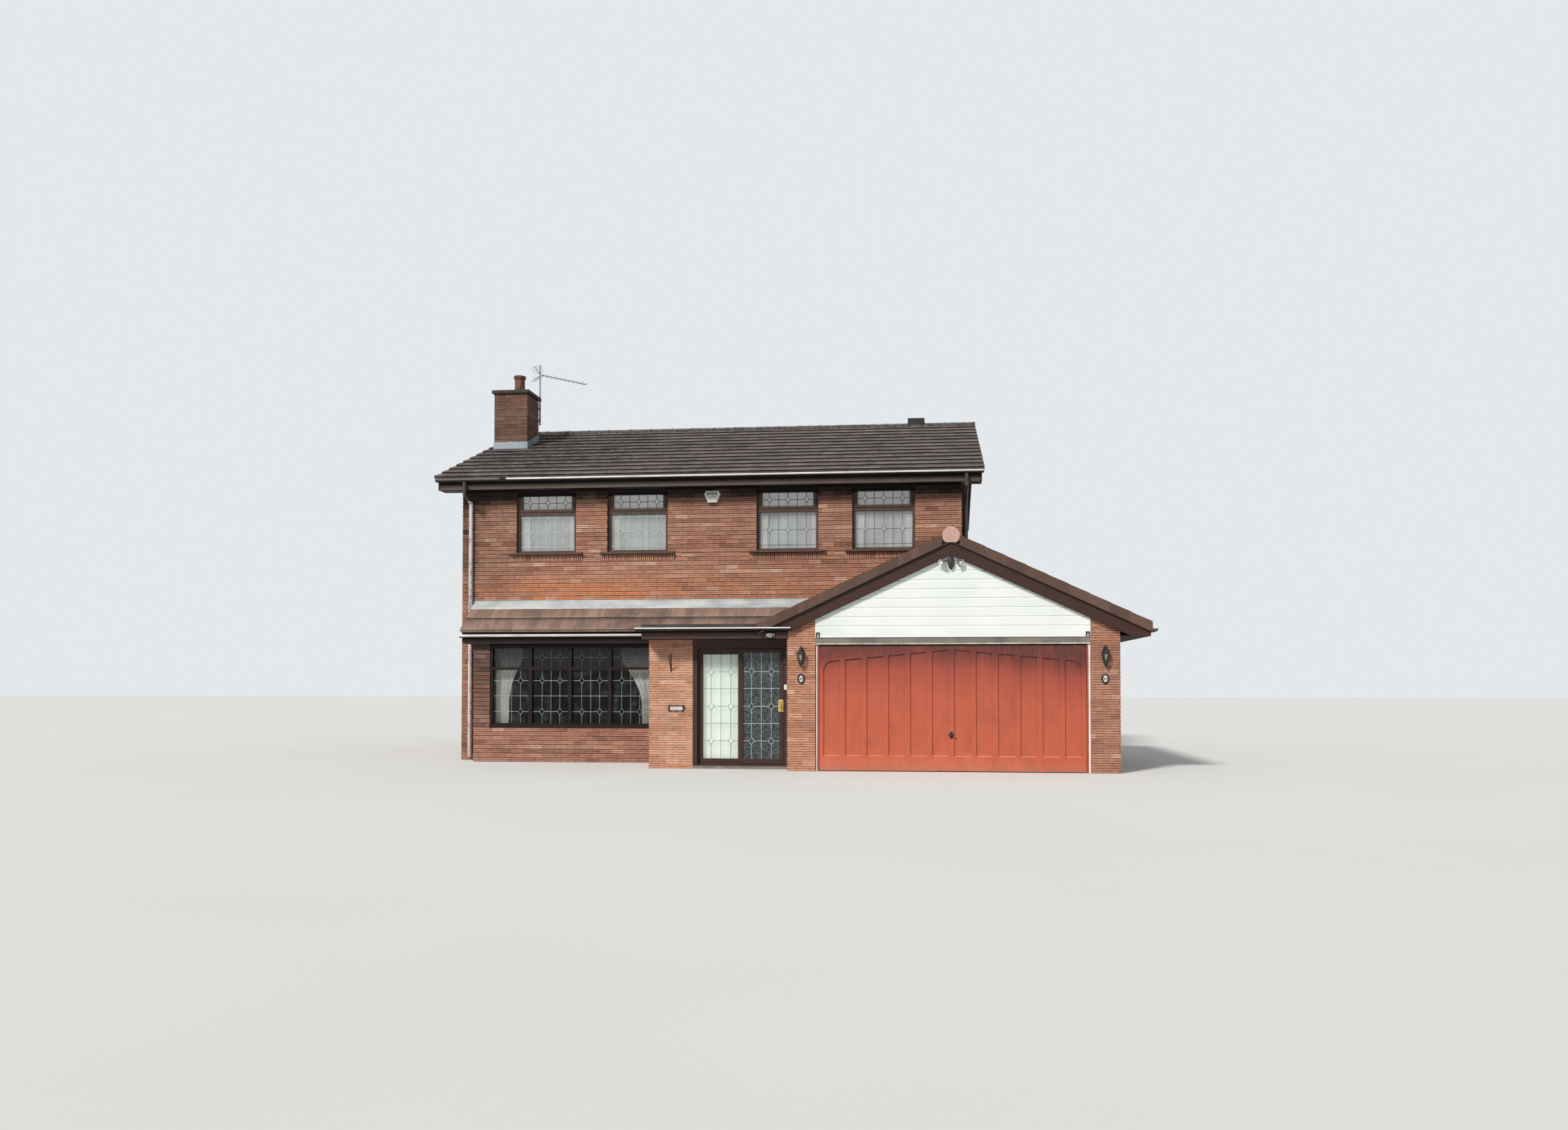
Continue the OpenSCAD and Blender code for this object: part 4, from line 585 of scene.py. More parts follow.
# One lead came in six tones as painted light: the cames look darker in the top lights and paler in
# the lower panes, as each window catches the light.
LEAD_DARK, LEAD_PALE, LEAD_SOFT, LEAD_BRIGHT, LEAD_PALEST, LEAD_DULL = (
    metal("lead_came_" + look, fresh, dull, 0.5, 0.05, 0.2) for look, fresh, dull in (
        ("dark", "5b5f60", "3f4243"), ("pale", "a4a9a9", "818787"),
        ("greenish", "98a69d", "828f86"), ("bright", "b2b7b7", "8e9494"),
        ("palest", "c4c9c9", "a5abab"), ("dull", "6d7676", "586061")))
TERRACOTTA = fired_clay()


# Mesh helpers

def mesh_of(name, build):
    """A mesh made by a function that fills a bmesh."""
    mesh = bpy.data.meshes.new(name)
    bm = bmesh.new()
    build(bm)
    bm.to_mesh(mesh)
    bm.free()
    return mesh


def piece(name, mesh, body, finish=None, replaces=()):
    """Puts a mesh, or what a function builds, in the scene as a piece that rides on a body."""
    if callable(mesh):
        mesh = mesh_of(name, mesh)
    thing = bpy.data.objects.new(name, mesh)
    bpy.context.scene.collection.objects.link(thing)
    if finish is not None:
        mesh.materials.clear()
        mesh.materials.append(finish)
    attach(thing, body)
    if replaces:
        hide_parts(*replaces)
    return thing


def dress(finish, *names):
    """Gives CAD nodes a finish where their own shape is right."""
    for name in names:
        nodes[name].data.materials.clear()
        nodes[name].data.materials.append(finish)


def refined(node, name, body, finish, bevel, smooth=False):
    """A merged copy of a CAD node with its edges eased by a bevel, if it has one, which stands
    for the node."""
    mesh = nodes[node].data.copy()
    bm = bmesh.new()
    bm.from_mesh(mesh)
    bmesh.ops.remove_doubles(bm, verts=bm.verts, dist=2e-5)
    if bevel:
        bmesh.ops.dissolve_limit(bm, angle_limit=math.radians(1), verts=bm.verts, edges=bm.edges)
    bm.to_mesh(mesh)
    bm.free()
    made = piece(name, mesh, body, finish, [node])
    if not bevel:
        return made
    ease = made.modifiers.new("ease", "BEVEL")
    ease.width = bevel
    ease.segments = 2
    ease.limit_method = "ANGLE"
    ease.angle_limit = math.radians(40)
    ease.use_clamp_overlap = True
    if smooth:
        mesh.shade_smooth()
        made.modifiers.new("split", "EDGE_SPLIT").split_angle = math.radians(35)
    return made


def share_of(node, name, body, finish, wanted):
    """The solids of a CAD node whose middle passes a test, as a piece that stands for them."""
    mesh = nodes[node].data.copy()
    bm = bmesh.new()
    bm.from_mesh(mesh)
    bmesh.ops.remove_doubles(bm, verts=bm.verts, dist=2e-5)
    left = set(bm.verts)
    while left:
        island, edge = set(), [left.pop()]
        while edge:
            vert = edge.pop()
            island.add(vert)
            edge.extend(other for link in vert.link_edges for other in link.verts if other in left)
            left.difference_update(edge)
        middle = sum((v.co for v in island), Vector()) / len(island)
        if not wanted(middle):
            bmesh.ops.delete(bm, geom=list(island), context="VERTS")
    bm.to_mesh(mesh)
    bm.free()
    return piece(name, mesh, body, finish, [node])


def slab(bm, low, high):
    """Box between two corners, with its faces outward."""
    centre = [(a + b) / 2 for a, b in zip(low, high)]
    size = [b - a for a, b in zip(low, high)]
    bmesh.ops.create_cube(bm, size=1.0,
                          matrix=Matrix.Translation(centre) @ Matrix.Diagonal((*size, 1.0)))


def skin(bm, rings):
    """Faces over rings of points, closed at both ends and turned outward; returns the rings'
    vertices."""
    rings = [[bm.verts.new(point) for point in ring] for ring in rings]
    made = [bm.faces.new(list(reversed(rings[0]))), bm.faces.new(rings[-1])]
    for near, far in zip(rings, rings[1:]):
        for i in range(len(near)):
            j = (i + 1) % len(near)
            made.append(bm.faces.new((near[i], near[j], far[j], far[i])))
    bmesh.ops.recalc_face_normals(bm, faces=made)
    return rings


def circle(sides):
    """Points at even steps round a circle of radius 1."""
    return [(math.cos(2 * math.pi * k / sides), math.sin(2 * math.pi * k / sides))
            for k in range(sides)]


def lathe(bm, profile, sides, at=(0, 0, 0)):
    """Closed form turned about Z from (radius, height) pairs."""
    skin(bm, [[(at[0] + radius * c, at[1] + radius * s, at[2] + height) for c, s in circle(sides)]
              for radius, height in profile])


def aimed(bm, profile, at, toward, sides=28):
    """A turned form whose axis starts at a point and aims along a direction."""
    before = set(bm.verts)
    lathe(bm, profile, sides)
    place = Matrix.Translation(at) @ Vector(toward).to_track_quat("Z", "Y").to_matrix().to_4x4()
    bmesh.ops.transform(bm, matrix=place, verts=[v for v in bm.verts if v not in before])


def bar(bm, points, radius, sides=6):
    """Round bar through points."""
    points = [Vector(point) for point in points]
    rings = []
    for i, point in enumerate(points):
        ahead = points[min(i + 1, len(points) - 1)] - points[max(i - 1, 0)]
        turned = ahead.to_track_quat("Z", "Y").to_matrix()
        rings.append([point + turned @ Vector((radius * c, radius * s, 0))
                      for c, s in circle(sides)])
    skin(bm, rings)


def medallion(bm, at, half_w, half_h, profile, sides=40):
    """Oval form on a wall: each ring is (share of the half sizes, how far it stands out)."""
    skin(bm, [[(at[0] + half_w * share * c, at[1] - out, at[2] + half_h * share * s)
               for c, s in circle(sides)] for share, out in profile])


def extruded(bm, outline, y0, y1):
    """Outline of (x, z) points, counter-clockwise seen from the front, drawn back from y0 to y1."""
    skin(bm, [[(x, y, z) for x, z in outline] for y in (y1, y0)])


def arc_shell(bm, radius, thick, start, stop, rows, steps=12):
    """Curved strip about Y between two angles in degrees; each row is (y, how far it stands
    out)."""
    turns = [math.radians(start + (stop - start) * k / steps) for k in range(steps + 1)]
    inner = [((radius - thick) * math.cos(a), (radius - thick) * math.sin(a))
             for a in reversed(turns)]
    rings = []
    for y, extra in rows:
        outer = [((radius + extra) * math.cos(a), (radius + extra) * math.sin(a)) for a in turns]
        rings.append([(x, y, z) for x, z in outer + inner])
    skin(bm, rings)


def drawn(bm, section, x0, x1):
    """A section of (y, z) points drawn along X."""
    skin(bm, [[(x, y, z) for y, z in section] for x in (x0, x1)])


def cut(mesh, point, normal):
    """Cuts away what lies on the side that the normal points to."""
    bm = bmesh.new()
    bm.from_mesh(mesh)
    bmesh.ops.bisect_plane(bm, geom=bm.verts[:] + bm.edges[:] + bm.faces[:], plane_co=point,
                           plane_no=normal, clear_outer=True)
    bm.to_mesh(mesh)
    bm.free()
    return mesh


def joined(*meshes):
    """One mesh from several, which are used up."""
    bm = bmesh.new()
    for mesh in meshes:
        bm.from_mesh(mesh)
    bm.to_mesh(meshes[0])
    bm.free()
    return meshes[0]


# Geometry Nodes helpers

def new_tree(name, **inputs):
    """A geometry tree with named inputs; returns it with its input and output nodes."""
    tree = bpy.data.node_groups.new(name, "GeometryNodeTree")
    tree.interface.new_socket("Geometry", in_out="INPUT", socket_type="NodeSocketGeometry")
    for label, kind in inputs.items():
        tree.interface.new_socket(label, in_out="INPUT", socket_type="NodeSocket" + kind)
    tree.interface.new_socket("Geometry", in_out="OUTPUT", socket_type="NodeSocketGeometry")
    return tree, add(tree, "NodeGroupInput"), add(tree, "NodeGroupOutput")


def end_tree(tree, source, leaving, placed):
    """Ends a tree in real geometry with its finish set."""
    real = add(tree, "GeometryNodeRealizeInstances", inputs={"Geometry": placed})
    set_finish = add(tree, "GeometryNodeSetMaterial",
                     inputs={"Geometry": real, "Material": source.outputs["Finish"]})
    tree.links.new(set_finish.outputs["Geometry"], leaving.inputs["Geometry"])
    return tree


def grow(name, tree, values, host=None):
    """The plain mesh that a tree makes with these values."""
    seed = bpy.data.objects.new(name, host or bpy.data.meshes.new(name))
    bpy.context.scene.collection.objects.link(seed)
    modifier = seed.modifiers.new("build", "NODES")
    modifier.node_group = tree
    labels = {s.name: s.identifier for s in tree.interface.items_tree if s.in_out == "INPUT"}
    for label, value in values.items():
        modifier[labels[label]] = value
    bpy.context.view_layer.update()
    settled = seed.evaluated_get(bpy.context.evaluated_depsgraph_get())
    mesh = bpy.data.meshes.new_from_object(settled)
    bpy.data.objects.remove(seed)
    return mesh


def unit(name, build):
    """A hidden object for a tree to repeat; it leaves the scene at the end."""
    made = bpy.data.objects.new(name, mesh_of(name, build))
    units.append(made)
    return made


units = []


def brick_tree():
    """Sets a brick at each point, with the size, turn and colour values that the point carries."""
    tree, source, leaving = new_tree("lay_bricks", Brick="Object", Finish="Material")
    shape = add(tree, "GeometryNodeObjectInfo", inputs={"Object": source.outputs["Brick"]})
    size = add(tree, "GeometryNodeInputNamedAttribute", {"data_type": "FLOAT_VECTOR"},
               {"Name": "size"})
    turn = add(tree, "GeometryNodeInputNamedAttribute", {"data_type": "FLOAT_VECTOR"},
               {"Name": "turn"})
    turned = add(tree, "FunctionNodeEulerToRotation", inputs={"Euler": turn.outputs["Attribute"]})
    placed = add(tree, "GeometryNodeInstanceOnPoints",
                 inputs={"Points": source.outputs["Geometry"],
                         "Instance": shape.outputs["Geometry"], "Rotation": turned,
                         "Scale": size.outputs["Attribute"]})
    return end_tree(tree, source, leaving, placed)


def repeated(tree, source, leaving, points, **more):
    """Puts a unit at each point, with a slight turn and a tone of its own, and ends the tree."""
    seed = source.outputs["Seed"]
    lean = add(tree, "FunctionNodeRandomValue", {"data_type": "FLOAT_VECTOR"},
               {"Min": (-1, -1, -1), "Max": (1, 1, 1), "Seed": seed})
    tilt = add(tree, "ShaderNodeVectorMath", {"operation": "SCALE"},
               {0: lean.outputs["Value"], "Scale": source.outputs["Play"]})
    turn = add(tree, "FunctionNodeEulerToRotation", inputs={"Euler": tilt})
    shape = add(tree, "GeometryNodeObjectInfo", inputs={"Object": source.outputs["Unit"]})
    placed = add(tree, "GeometryNodeInstanceOnPoints",
                 inputs={"Points": points, "Instance": shape.outputs["Geometry"], "Rotation": turn,
                         **more})
    tone = add(tree, "FunctionNodeRandomValue", {"data_type": "FLOAT"}, {"Seed": seed})
    toned = add(tree, "GeometryNodeStoreNamedAttribute",
                {"domain": "INSTANCE", "data_type": "FLOAT"},
                {"Geometry": placed, "Name": "tone", "Value": tone})
    return end_tree(tree, source, leaving, toned)


def tile_tree():
    """Lays broken-bond tiles over a slope, X across and Y up it, with half tiles at both ends of
    odd rows."""
    tree, source, leaving = new_tree("lay_tiles", Columns="Int", Rows="Int", Cover="Float",
                                     Gauge="Float", Play="Float", Seed="Int", Unit="Object",
                                     Finish="Material")
    known = dict(source.outputs.items(), index=add(tree, "GeometryNodeInputIndex"))
    # Each sum is its name, an operation and its values: numbers, or names of what is known.
    for name, operation, *values in (
            ("in_row", "ADD", "Columns", 1.0),
            ("column", "MODULO", "index", "in_row"), ("rows_up", "DIVIDE", "index", "in_row"),
            ("row", "FLOOR", "rows_up"), ("odd", "MODULO", "row", 2.0),
            ("first", "LESS_THAN", "column", 0.5), ("end", "SUBTRACT", "Columns", 0.5),
            ("last", "GREATER_THAN", "column", "end"), ("at_end", "ADD", "first", "last"),
            ("halved", "MULTIPLY", "odd", "at_end"), ("width", "MULTIPLY_ADD", "halved", -0.5, 1.0),
            ("which_end", "SUBTRACT", "first", "last"), ("inset", "MULTIPLY", "which_end", 0.25),
            ("move", "SUBTRACT", "inset", 0.5), ("shift", "MULTIPLY", "odd", "move"),
            ("middle", "ADD", "column", 0.5), ("shifted", "ADD", "middle", "shift"),
            ("across", "MULTIPLY", "shifted", "Cover"), ("up", "MULTIPLY", "row", "Gauge"),
            ("count", "MULTIPLY", "in_row", "Rows"), ("even", "SUBTRACT", 1.0, "odd"),
            ("spare", "MULTIPLY", "last", "even")):
        known[name] = add(tree, "ShaderNodeMath", {"operation": operation},
                          {number: known.get(value, value) for number, value in enumerate(values)})
    spot = add(tree, "ShaderNodeCombineXYZ", inputs={"X": known["across"], "Y": known["up"]})
    points = add(tree, "GeometryNodePoints", inputs={"Count": known["count"], "Position": spot})
    kept = add(tree, "FunctionNodeCompare", {"data_type": "FLOAT", "operation": "LESS_THAN"},
               {"A": known["spare"], "B": 0.5})
    scale = add(tree, "ShaderNodeCombineXYZ", inputs={"X": known["width"], "Y": 1.0, "Z": 1.0})
    return repeated(tree, source, leaving, points, Selection=kept, Scale=scale)


def run_tree():
    """Repeats a unit in a straight run, one step apart."""
    tree, source, leaving = new_tree("repeat_in_a_run", Count="Int", Step="Vector", Play="Float",
                                     Seed="Int", Unit="Object", Finish="Material")
    spot = add(tree, "ShaderNodeVectorMath", {"operation": "SCALE"},
               {0: source.outputs["Step"], "Scale": add(tree, "GeometryNodeInputIndex")})
    points = add(tree, "GeometryNodePoints",
                 inputs={"Count": source.outputs["Count"], "Position": spot})
    return repeated(tree, source, leaving, points)


def came_tree():
    """Turns the lines of a leaded light into round-edged lead strips."""
    tree, source, leaving = new_tree("lead_cames", Width="Float", Finish="Material")
    lines = add(tree, "GeometryNodeMeshToCurve", inputs={"Mesh": source.outputs["Geometry"]})
    radius = add(tree, "ShaderNodeMath", {"operation": "MULTIPLY"},
                 {0: source.outputs["Width"], 1: 0.5})
    section = add(tree, "GeometryNodeCurvePrimitiveCircle",
                  inputs={"Resolution": 6, "Radius": radius})
    strips = add(tree, "GeometryNodeCurveToMesh",
                 inputs={"Curve": lines, "Profile Curve": section.outputs["Curve"],
                         "Fill Caps": True})
    return end_tree(tree, source, leaving, strips)


LAY_BRICKS = brick_tree()
LAY_TILES = tile_tree()
REPEAT = run_tree()
LEAD_LINES = came_tree()


# Brickwork

# COURSE and STRETCHER are pitches, joints included. A face stands out from its mortar by PROUD, or
# by FLUSH where the joints are full. Strips and cut bricks under the LEAST sizes are left out.
COURSE = 0.075
STRETCHER = 0.225
JOINT = 0.011
PERPEND = 0.002
PROUD = 0.007
LEAST_STRIP = 0.012
LEAST_CUT = 0.018
PIER_JOINT = 0.009
FLUSH = 0.004
TURNS = {"front": 0, "right": 90, "rear": 180, "left": -90}


def brick_shape(bm):
    """Unit brick: X along the wall, Z up, its face at -Y, with worn arrises and the groove that is
    combed along the middle of its face. Seen from the street the groove reads as a second line in
    every course; the value on its hollow darkens that line as painted shade."""
    groove = bm.verts.layers.float.new("groove")
    section = [(0.0, -0.5, 0.0), (-1.0, -0.462, 0.0), (-1.0, -0.105, 0.0), (-0.45, -0.045, 1.0),
               (-0.45, 0.045, 1.0), (-1.0, 0.105, 0.0), (-1.0, 0.462, 0.0), (0.0, 0.5, 0.0)]
    ends = skin(bm, [[(side if y == 0 else side * 0.995, y, z) for y, z, _ in section]
                     for side in (-0.5, 0.5)])
    for ring in ends:
        for vert, (_, _, share) in zip(ring, section):
            vert[groove] = share


BRICK_UNIT = unit("brick_unit", brick_shape)


def clamp(value):
    """A value kept between 0 and 1."""
    return min(max(value, 0), 1)


def even(u, z):
    """How far the firing is shifted to pale, and the shares of orange and of soot; on some walls
    the soot share also carries painted shade.
    """
    return 0.0, 0.08, 0.06


def stretchers(ends, foot, top, blocked, joint, proud):
    """Bricks in stretcher bond between two ends, cut at openings. Each is (place along the wall,
    height of its middle, width, height, how far it stands out)."""
    levels = sorted({foot, top} | {level for hole in blocked for level in hole[2:]})
    laid = []
    for course in range(int(foot / COURSE), math.ceil(top / COURSE)):
        base = course * COURSE + joint / 2
        crest = base + COURSE - joint
        between = [z for z in levels if base + LEAST_STRIP < z < crest - LEAST_STRIP]
        cuts = [base, *between, crest]
        start = course % 2 * STRETCHER / 2
        for low, high in zip(cuts, cuts[1:]):
            mid = (low + high) / 2
            if not foot < mid < top:
                continue
            runs = [ends(mid) if callable(ends) else ends]
            for left, right, under, over in blocked:
                if under <= mid < over:
                    runs = [part for a, b in runs
                            for part in ((a, min(b, left)), (max(a, right), b))]
            for a, b in runs:
                k = math.floor((a - start) / STRETCHER)
                while k * STRETCHER + start < b:
                    left = max(a, k * STRETCHER + start + PERPEND / 2)
                    right = min(b, (k + 1) * STRETCHER + start - PERPEND / 2)
                    if right - left > LEAST_CUT:
                        laid.append(((left + right) / 2, mid, right - left, high - low, proud))
                    k += 1
    return laid


def on_edge(rows):
    """Bricks standing on edge in rows, in the same terms."""
    laid = []
    for left, right, under, over in rows:
        count = round((right - left) / COURSE)
        pitch = (right - left) / count
        laid += [(left + (k + 0.5) * pitch, (under + over) / 2, pitch - JOINT,
                  over - under - 0.008, PROUD + 0.004) for k in range(count)]
    return laid


def by_chance(laid, flat, heading, tint):
    """What each point of a wall carries: the brick's size and turn as laid by hand, and its colour
    as fired. The first `flat` bricks lie flat and the rest stand on edge."""
    shares = [tint(u, z) for u, z, *_ in laid]
    odd = [chance.random() for _ in laid]
    # Bricks laid one after another often come from one firing, so the tone wanders along a course.
    drift, wander = 0.0, []
    for _ in laid:
        drift = 0.78 * drift + chance.gauss(0, 0.09)
        wander.append(drift)
    values = {"size": [], "turn": [], "tone": [], "warm": [], "soot": []}
    for i, (_, _, wide, high, deep) in enumerate(laid):
        deep *= chance.uniform(0.7, 1.1)
        values["size"].append((wide, deep, high * chance.uniform(0.955, 1.03)) if i < flat
                              else (high, deep, wide))
    for i in range(len(laid)):
        upended = 0 if i < flat else math.pi / 2
        values["turn"].append((chance.gauss(0, 0.02), chance.gauss(0, 0.005) + upended, heading))
    for share, o, w in zip(shares, odd, wander):
        far_off = 0.3 if o < 0.04 else -0.2 if o > 0.96 else 0
        values["tone"].append(clamp(chance.gauss(0.46, 0.08) + w + share[0] + far_off))
    for share in shares:
        values["warm"].append(clamp(share[1] * chance.uniform(0.3, 1.5)
                                    + max(chance.gauss(-0.05, 0.12), 0)))
    # The soot share carries real soot on the stack and painted shade under the eaves, on the bay's
    # post and on the shaded pier.
    for share, o in zip(shares, odd):
        burnt = 0.25 if o > 0.985 else 0
        values["soot"].append(clamp(share[2] + chance.gauss(0, 0.06) * min(share[2] * 5, 1)
                                    + burnt))
    return values


def lay(name, side, out, ends, foot, top, holes=(), upright=(), tint=even, joint=JOINT,
        proud=PROUD):
    """Brick faces over one wall. `out` is how far the wall's face stands from the origin, `ends`
    are its two ends, or give them at a height, and `upright` are rows of bricks on edge."""
    heading = math.radians(TURNS[side])
    along = Vector((math.cos(heading), math.sin(heading), 0.0))
    outward = Vector((math.sin(heading), -math.cos(heading), 0.0))
    laid = stretchers(ends, foot, top, [*holes, *upright], joint, proud)
    flat = len(laid)
    laid += on_edge(upright)
    host = bpy.data.meshes.new(name)
    host.from_pydata([along * u + outward * (out - 0.001) + Vector((0, 0, z)) for u, z, *_ in laid],
                     [], [])
    for label, column in by_chance(laid, flat, heading, tint).items():
        kind = "FLOAT_VECTOR" if label in ("size", "turn") else "FLOAT"
        layer = host.attributes.new(label, kind, "POINT")
        if kind == "FLOAT":
            layer.data.foreach_set("value", column)
        else:
            layer.data.foreach_set("vector", [c for row in column for c in row])
    mesh = grow(name, LAY_BRICKS, {"Brick": BRICK_UNIT, "Finish": BRICK}, host)
    return piece(name, mesh, "house")


def under_slopes(low, high, middle, apex, pitch, flip=False):
    """Ends of a wall at a height, where it stays under two slopes that meet at `apex` over its
    middle."""
    def at(z):
        reach = (apex - z) / math.tan(pitch)
        near, far = max(middle - reach, low), min(middle + reach, high)
        return (-far, -near) if flip else (near, far)
    return at


def upper_front_ends(z):
    """The upper front wall stops at the lead over the garage roof's left slope."""
    climb = (z - 0.075 - GARAGE_LOW_Z) / math.tan(GARAGE_PITCH)
    valley = GARAGE_EDGE_LOW.x + climb
    return -MAIN_X - PROUD, valley if valley < GARAGE_MID else MAIN_X + PROUD


def upper_front_tint(u, z):
    """An orange band over the lead, pinker to the right, that partly stands for sunlight on the
    lower wall; painted shade darkens the wall towards the eaves, near black just under them, and at
    its left corner; it is also duller at the left.
    """
    band = math.exp(-((z - 2.98) / 0.26) ** 2) * (0.45 + 0.55 * math.exp(-((u + 2.2) / 1.5) ** 2))
    # Painted shade from 4 m up, at the left corner and, near black, in the courses just under the
    # eaves.
    high = max(z - 4.0, 0) / 0.8
    corner = 0.22 if u < -4.27 and z > 3.4 else 0.0
    eave = 1.2 if z > 4.70 else 0.75 if z > 4.64 else 0.38 if z > 4.57 else 0.0
    soot = 0.05 + 0.20 * high + 0.42 * max(-u - 2.9, 0) / 1.5 + eave + corner
    return 0.07 * (1 - high) + 0.12 * band, 0.12 + 0.80 * band, soot


def pier_tint(u, z):
    """The piers take the sun and the rain, and are the palest brickwork, above all by the porch;
    the right one stands in shade."""
    shaded = 1.0 if u > GARAGE_MID else 0.0
    by_porch = 0.09 if u < PIERS_LOW.x - 0.05 else 0.0
    return 0.25 + by_porch - 0.12 * shaded, 0.28 - 0.10 * shaded, 0.10 * shaded


def bay_post_tint(u, z):
    """The brick post beside the bay window is dull, with painted shade that deepens upward under
    the lean-to.
    """
    return -0.12, 0.05, 0.48 + 0.42 * max(z - 1.1, 0)


def stack_tint(u, z):
    """The stack is sooty above the roof."""
    return -0.05, 0.05, 0.68 if z > 5.6 else 0.15


def window_gaps(flip, xs, z0, z1):
    """Openings with their sills, and the row of bricks on edge under each."""
    mids = [-x if flip else x for x in xs]
    gaps = [(m - WINDOW_HALF, m + WINDOW_HALF, z0, z1 + 0.025) for m in mids]
    gaps += [(m - SILL_HALF, m + SILL_HALF, z0, z0 + 0.042) for m in mids]
    rows = [(m - SILL_HALF, m + SILL_HALF, z0 - 0.112, z0) for m in mids]
    return gaps, rows


front_gaps, front_rows = window_gaps(False, WINDOW_XS, *WINDOW_Z)
rear_gaps, rear_rows = window_gaps(True, WINDOW_XS, *WINDOW_Z)
low_gaps, low_rows = window_gaps(True, REAR_LOW_XS, *REAR_LOW_Z)
lintels = [(-x - SILL_HALF, -x + SILL_HALF, REAR_LOW_Z[1] + 0.03, REAR_LOW_Z[1] + 0.142)
           for x in REAR_LOW_XS]
gable = (-PROUD, MAIN_D + PROUD, RIDGE.y, RIDGE.z - 0.235, MAIN_PITCH)
garage_gable = (GARAGE_MID, garage_roof_z(GARAGE_MID) - 0.09, GARAGE_PITCH)
beside_garage = garage_roof_z(MAIN_X) + 0.10
STACK_FREE_Z = 5.85
PIER_WIDTH = 0.44

lay("front_brick_upper", "front", 0.0, upper_front_ends, LEAD_TOP, SOFFIT_Z, front_gaps, front_rows,
    upper_front_tint)
lay("front_brick_corner", "front", 0.0, (-MAIN_X - PROUD, BAY_LOW.x), 0.0, LEAD_TOP)
lay("rear_brick", "rear", MAIN_D, (-MAIN_X - PROUD, MAIN_X + PROUD), 0.0, SOFFIT_Z,
    rear_gaps + low_gaps, rear_rows + low_rows + lintels)
lay("left_gable_brick", "left", MAIN_X, under_slopes(*gable, True), 0.0, RIDGE.z,
    [(-STACK_HIGH.y, -STACK_LOW.y, 0.0, RIDGE.z)])
lay("right_gable_brick", "right", MAIN_X, under_slopes(*gable), 0.0, RIDGE.z,
    [(-0.1, GARAGE_HIGH.y + 0.02, 0.0, beside_garage),
     (GARAGE_HIGH.y, GARAGE_HIGH.y + 0.11, 2.0, beside_garage)])
for side, out, foot, ends in (
        ("left", -STACK_LOW.x, 0.0, (-STACK_HIGH.y - PROUD, -STACK_LOW.y + PROUD)),
        ("front", -STACK_LOW.y, 0.0,
         lambda z: (STACK_LOW.x - PROUD, STACK_HIGH.x + PROUD if z > STACK_FREE_Z else -MAIN_X)),
        ("rear", STACK_HIGH.y, 0.0,
         lambda z: (-STACK_HIGH.x - PROUD if z > STACK_FREE_Z else MAIN_X, -STACK_LOW.x + PROUD)),
        ("right", STACK_HIGH.x, 5.9, (STACK_LOW.y - PROUD, STACK_HIGH.y + PROUD))):
    lay("stack_brick_" + side, side, out, ends, foot, STACK_HIGH.z, tint=stack_tint)
for part, side, out, ends, foot, top, tint in (
        ("apron", "front", -BAY_LOW.y, (BAY_LOW.x - PROUD, PORCH_LOW.x), 0.0, BAY_FRAME_LOW.z,
         even),
        ("panel", "front", -BAY_LOW.y, (-0.88, PORCH_LOW.x), BAY_FRAME_LOW.z, BAY_HIGH.z, even),
        ("cheek", "left", -BAY_LOW.x, (0.0, -BAY_LOW.y + PROUD), 0.0, BAY_HIGH.z, even),
        ("post", "front", -BAY_LOW.y, (BAY_LOW.x - PROUD, BAY_LEFT), BAY_FRAME_LOW.z, BAY_HIGH.z,
         bay_post_tint)):
    lay("bay_brick_" + part, side, out, ends, foot, top, tint=tint)
lay("porch_brick_front", "front", -PORCH_LOW.y, (PORCH_LOW.x - PROUD, 0.106), 0.0, PORCH_WALL_Z,
    tint=pier_tint, joint=PIER_JOINT, proud=FLUSH)
lay("porch_brick_side", "left", -PORCH_LOW.x, (-BAY_LOW.y, -PORCH_LOW.y + PROUD), 0.0, PORCH_WALL_Z,
    tint=pier_tint, joint=PIER_JOINT, proud=FLUSH)
for side, low, high in (("left", PIERS_LOW.x - PROUD, PIERS_LOW.x + PIER_WIDTH),
                        ("right", PIERS_HIGH.x - PIER_WIDTH, PIERS_HIGH.x + PROUD)):
    lay("garage_pier_brick_" + side, "front", -PIERS_LOW.y, under_slopes(low, high, *garage_gable),
        0.0, 2.60, tint=pier_tint, joint=PIER_JOINT)
lay("garage_side_brick_left", "left", -PIERS_LOW.x, (-PORCH_LOW.y, -PIERS_LOW.y + PROUD), 0.0,
    GARAGE_EAVE_Z, tint=pier_tint, joint=PIER_JOINT)
lay("garage_side_brick_right", "right", PIERS_HIGH.x, (PIERS_LOW.y - PROUD, GARAGE_HIGH.y + PROUD),
    0.0, GARAGE_EAVE_Z)
lay("garage_rear_brick", "rear", GARAGE_HIGH.y,
    under_slopes(MAIN_X, PIERS_HIGH.x + PROUD, *garage_gable, True), 0.0, 3.60)

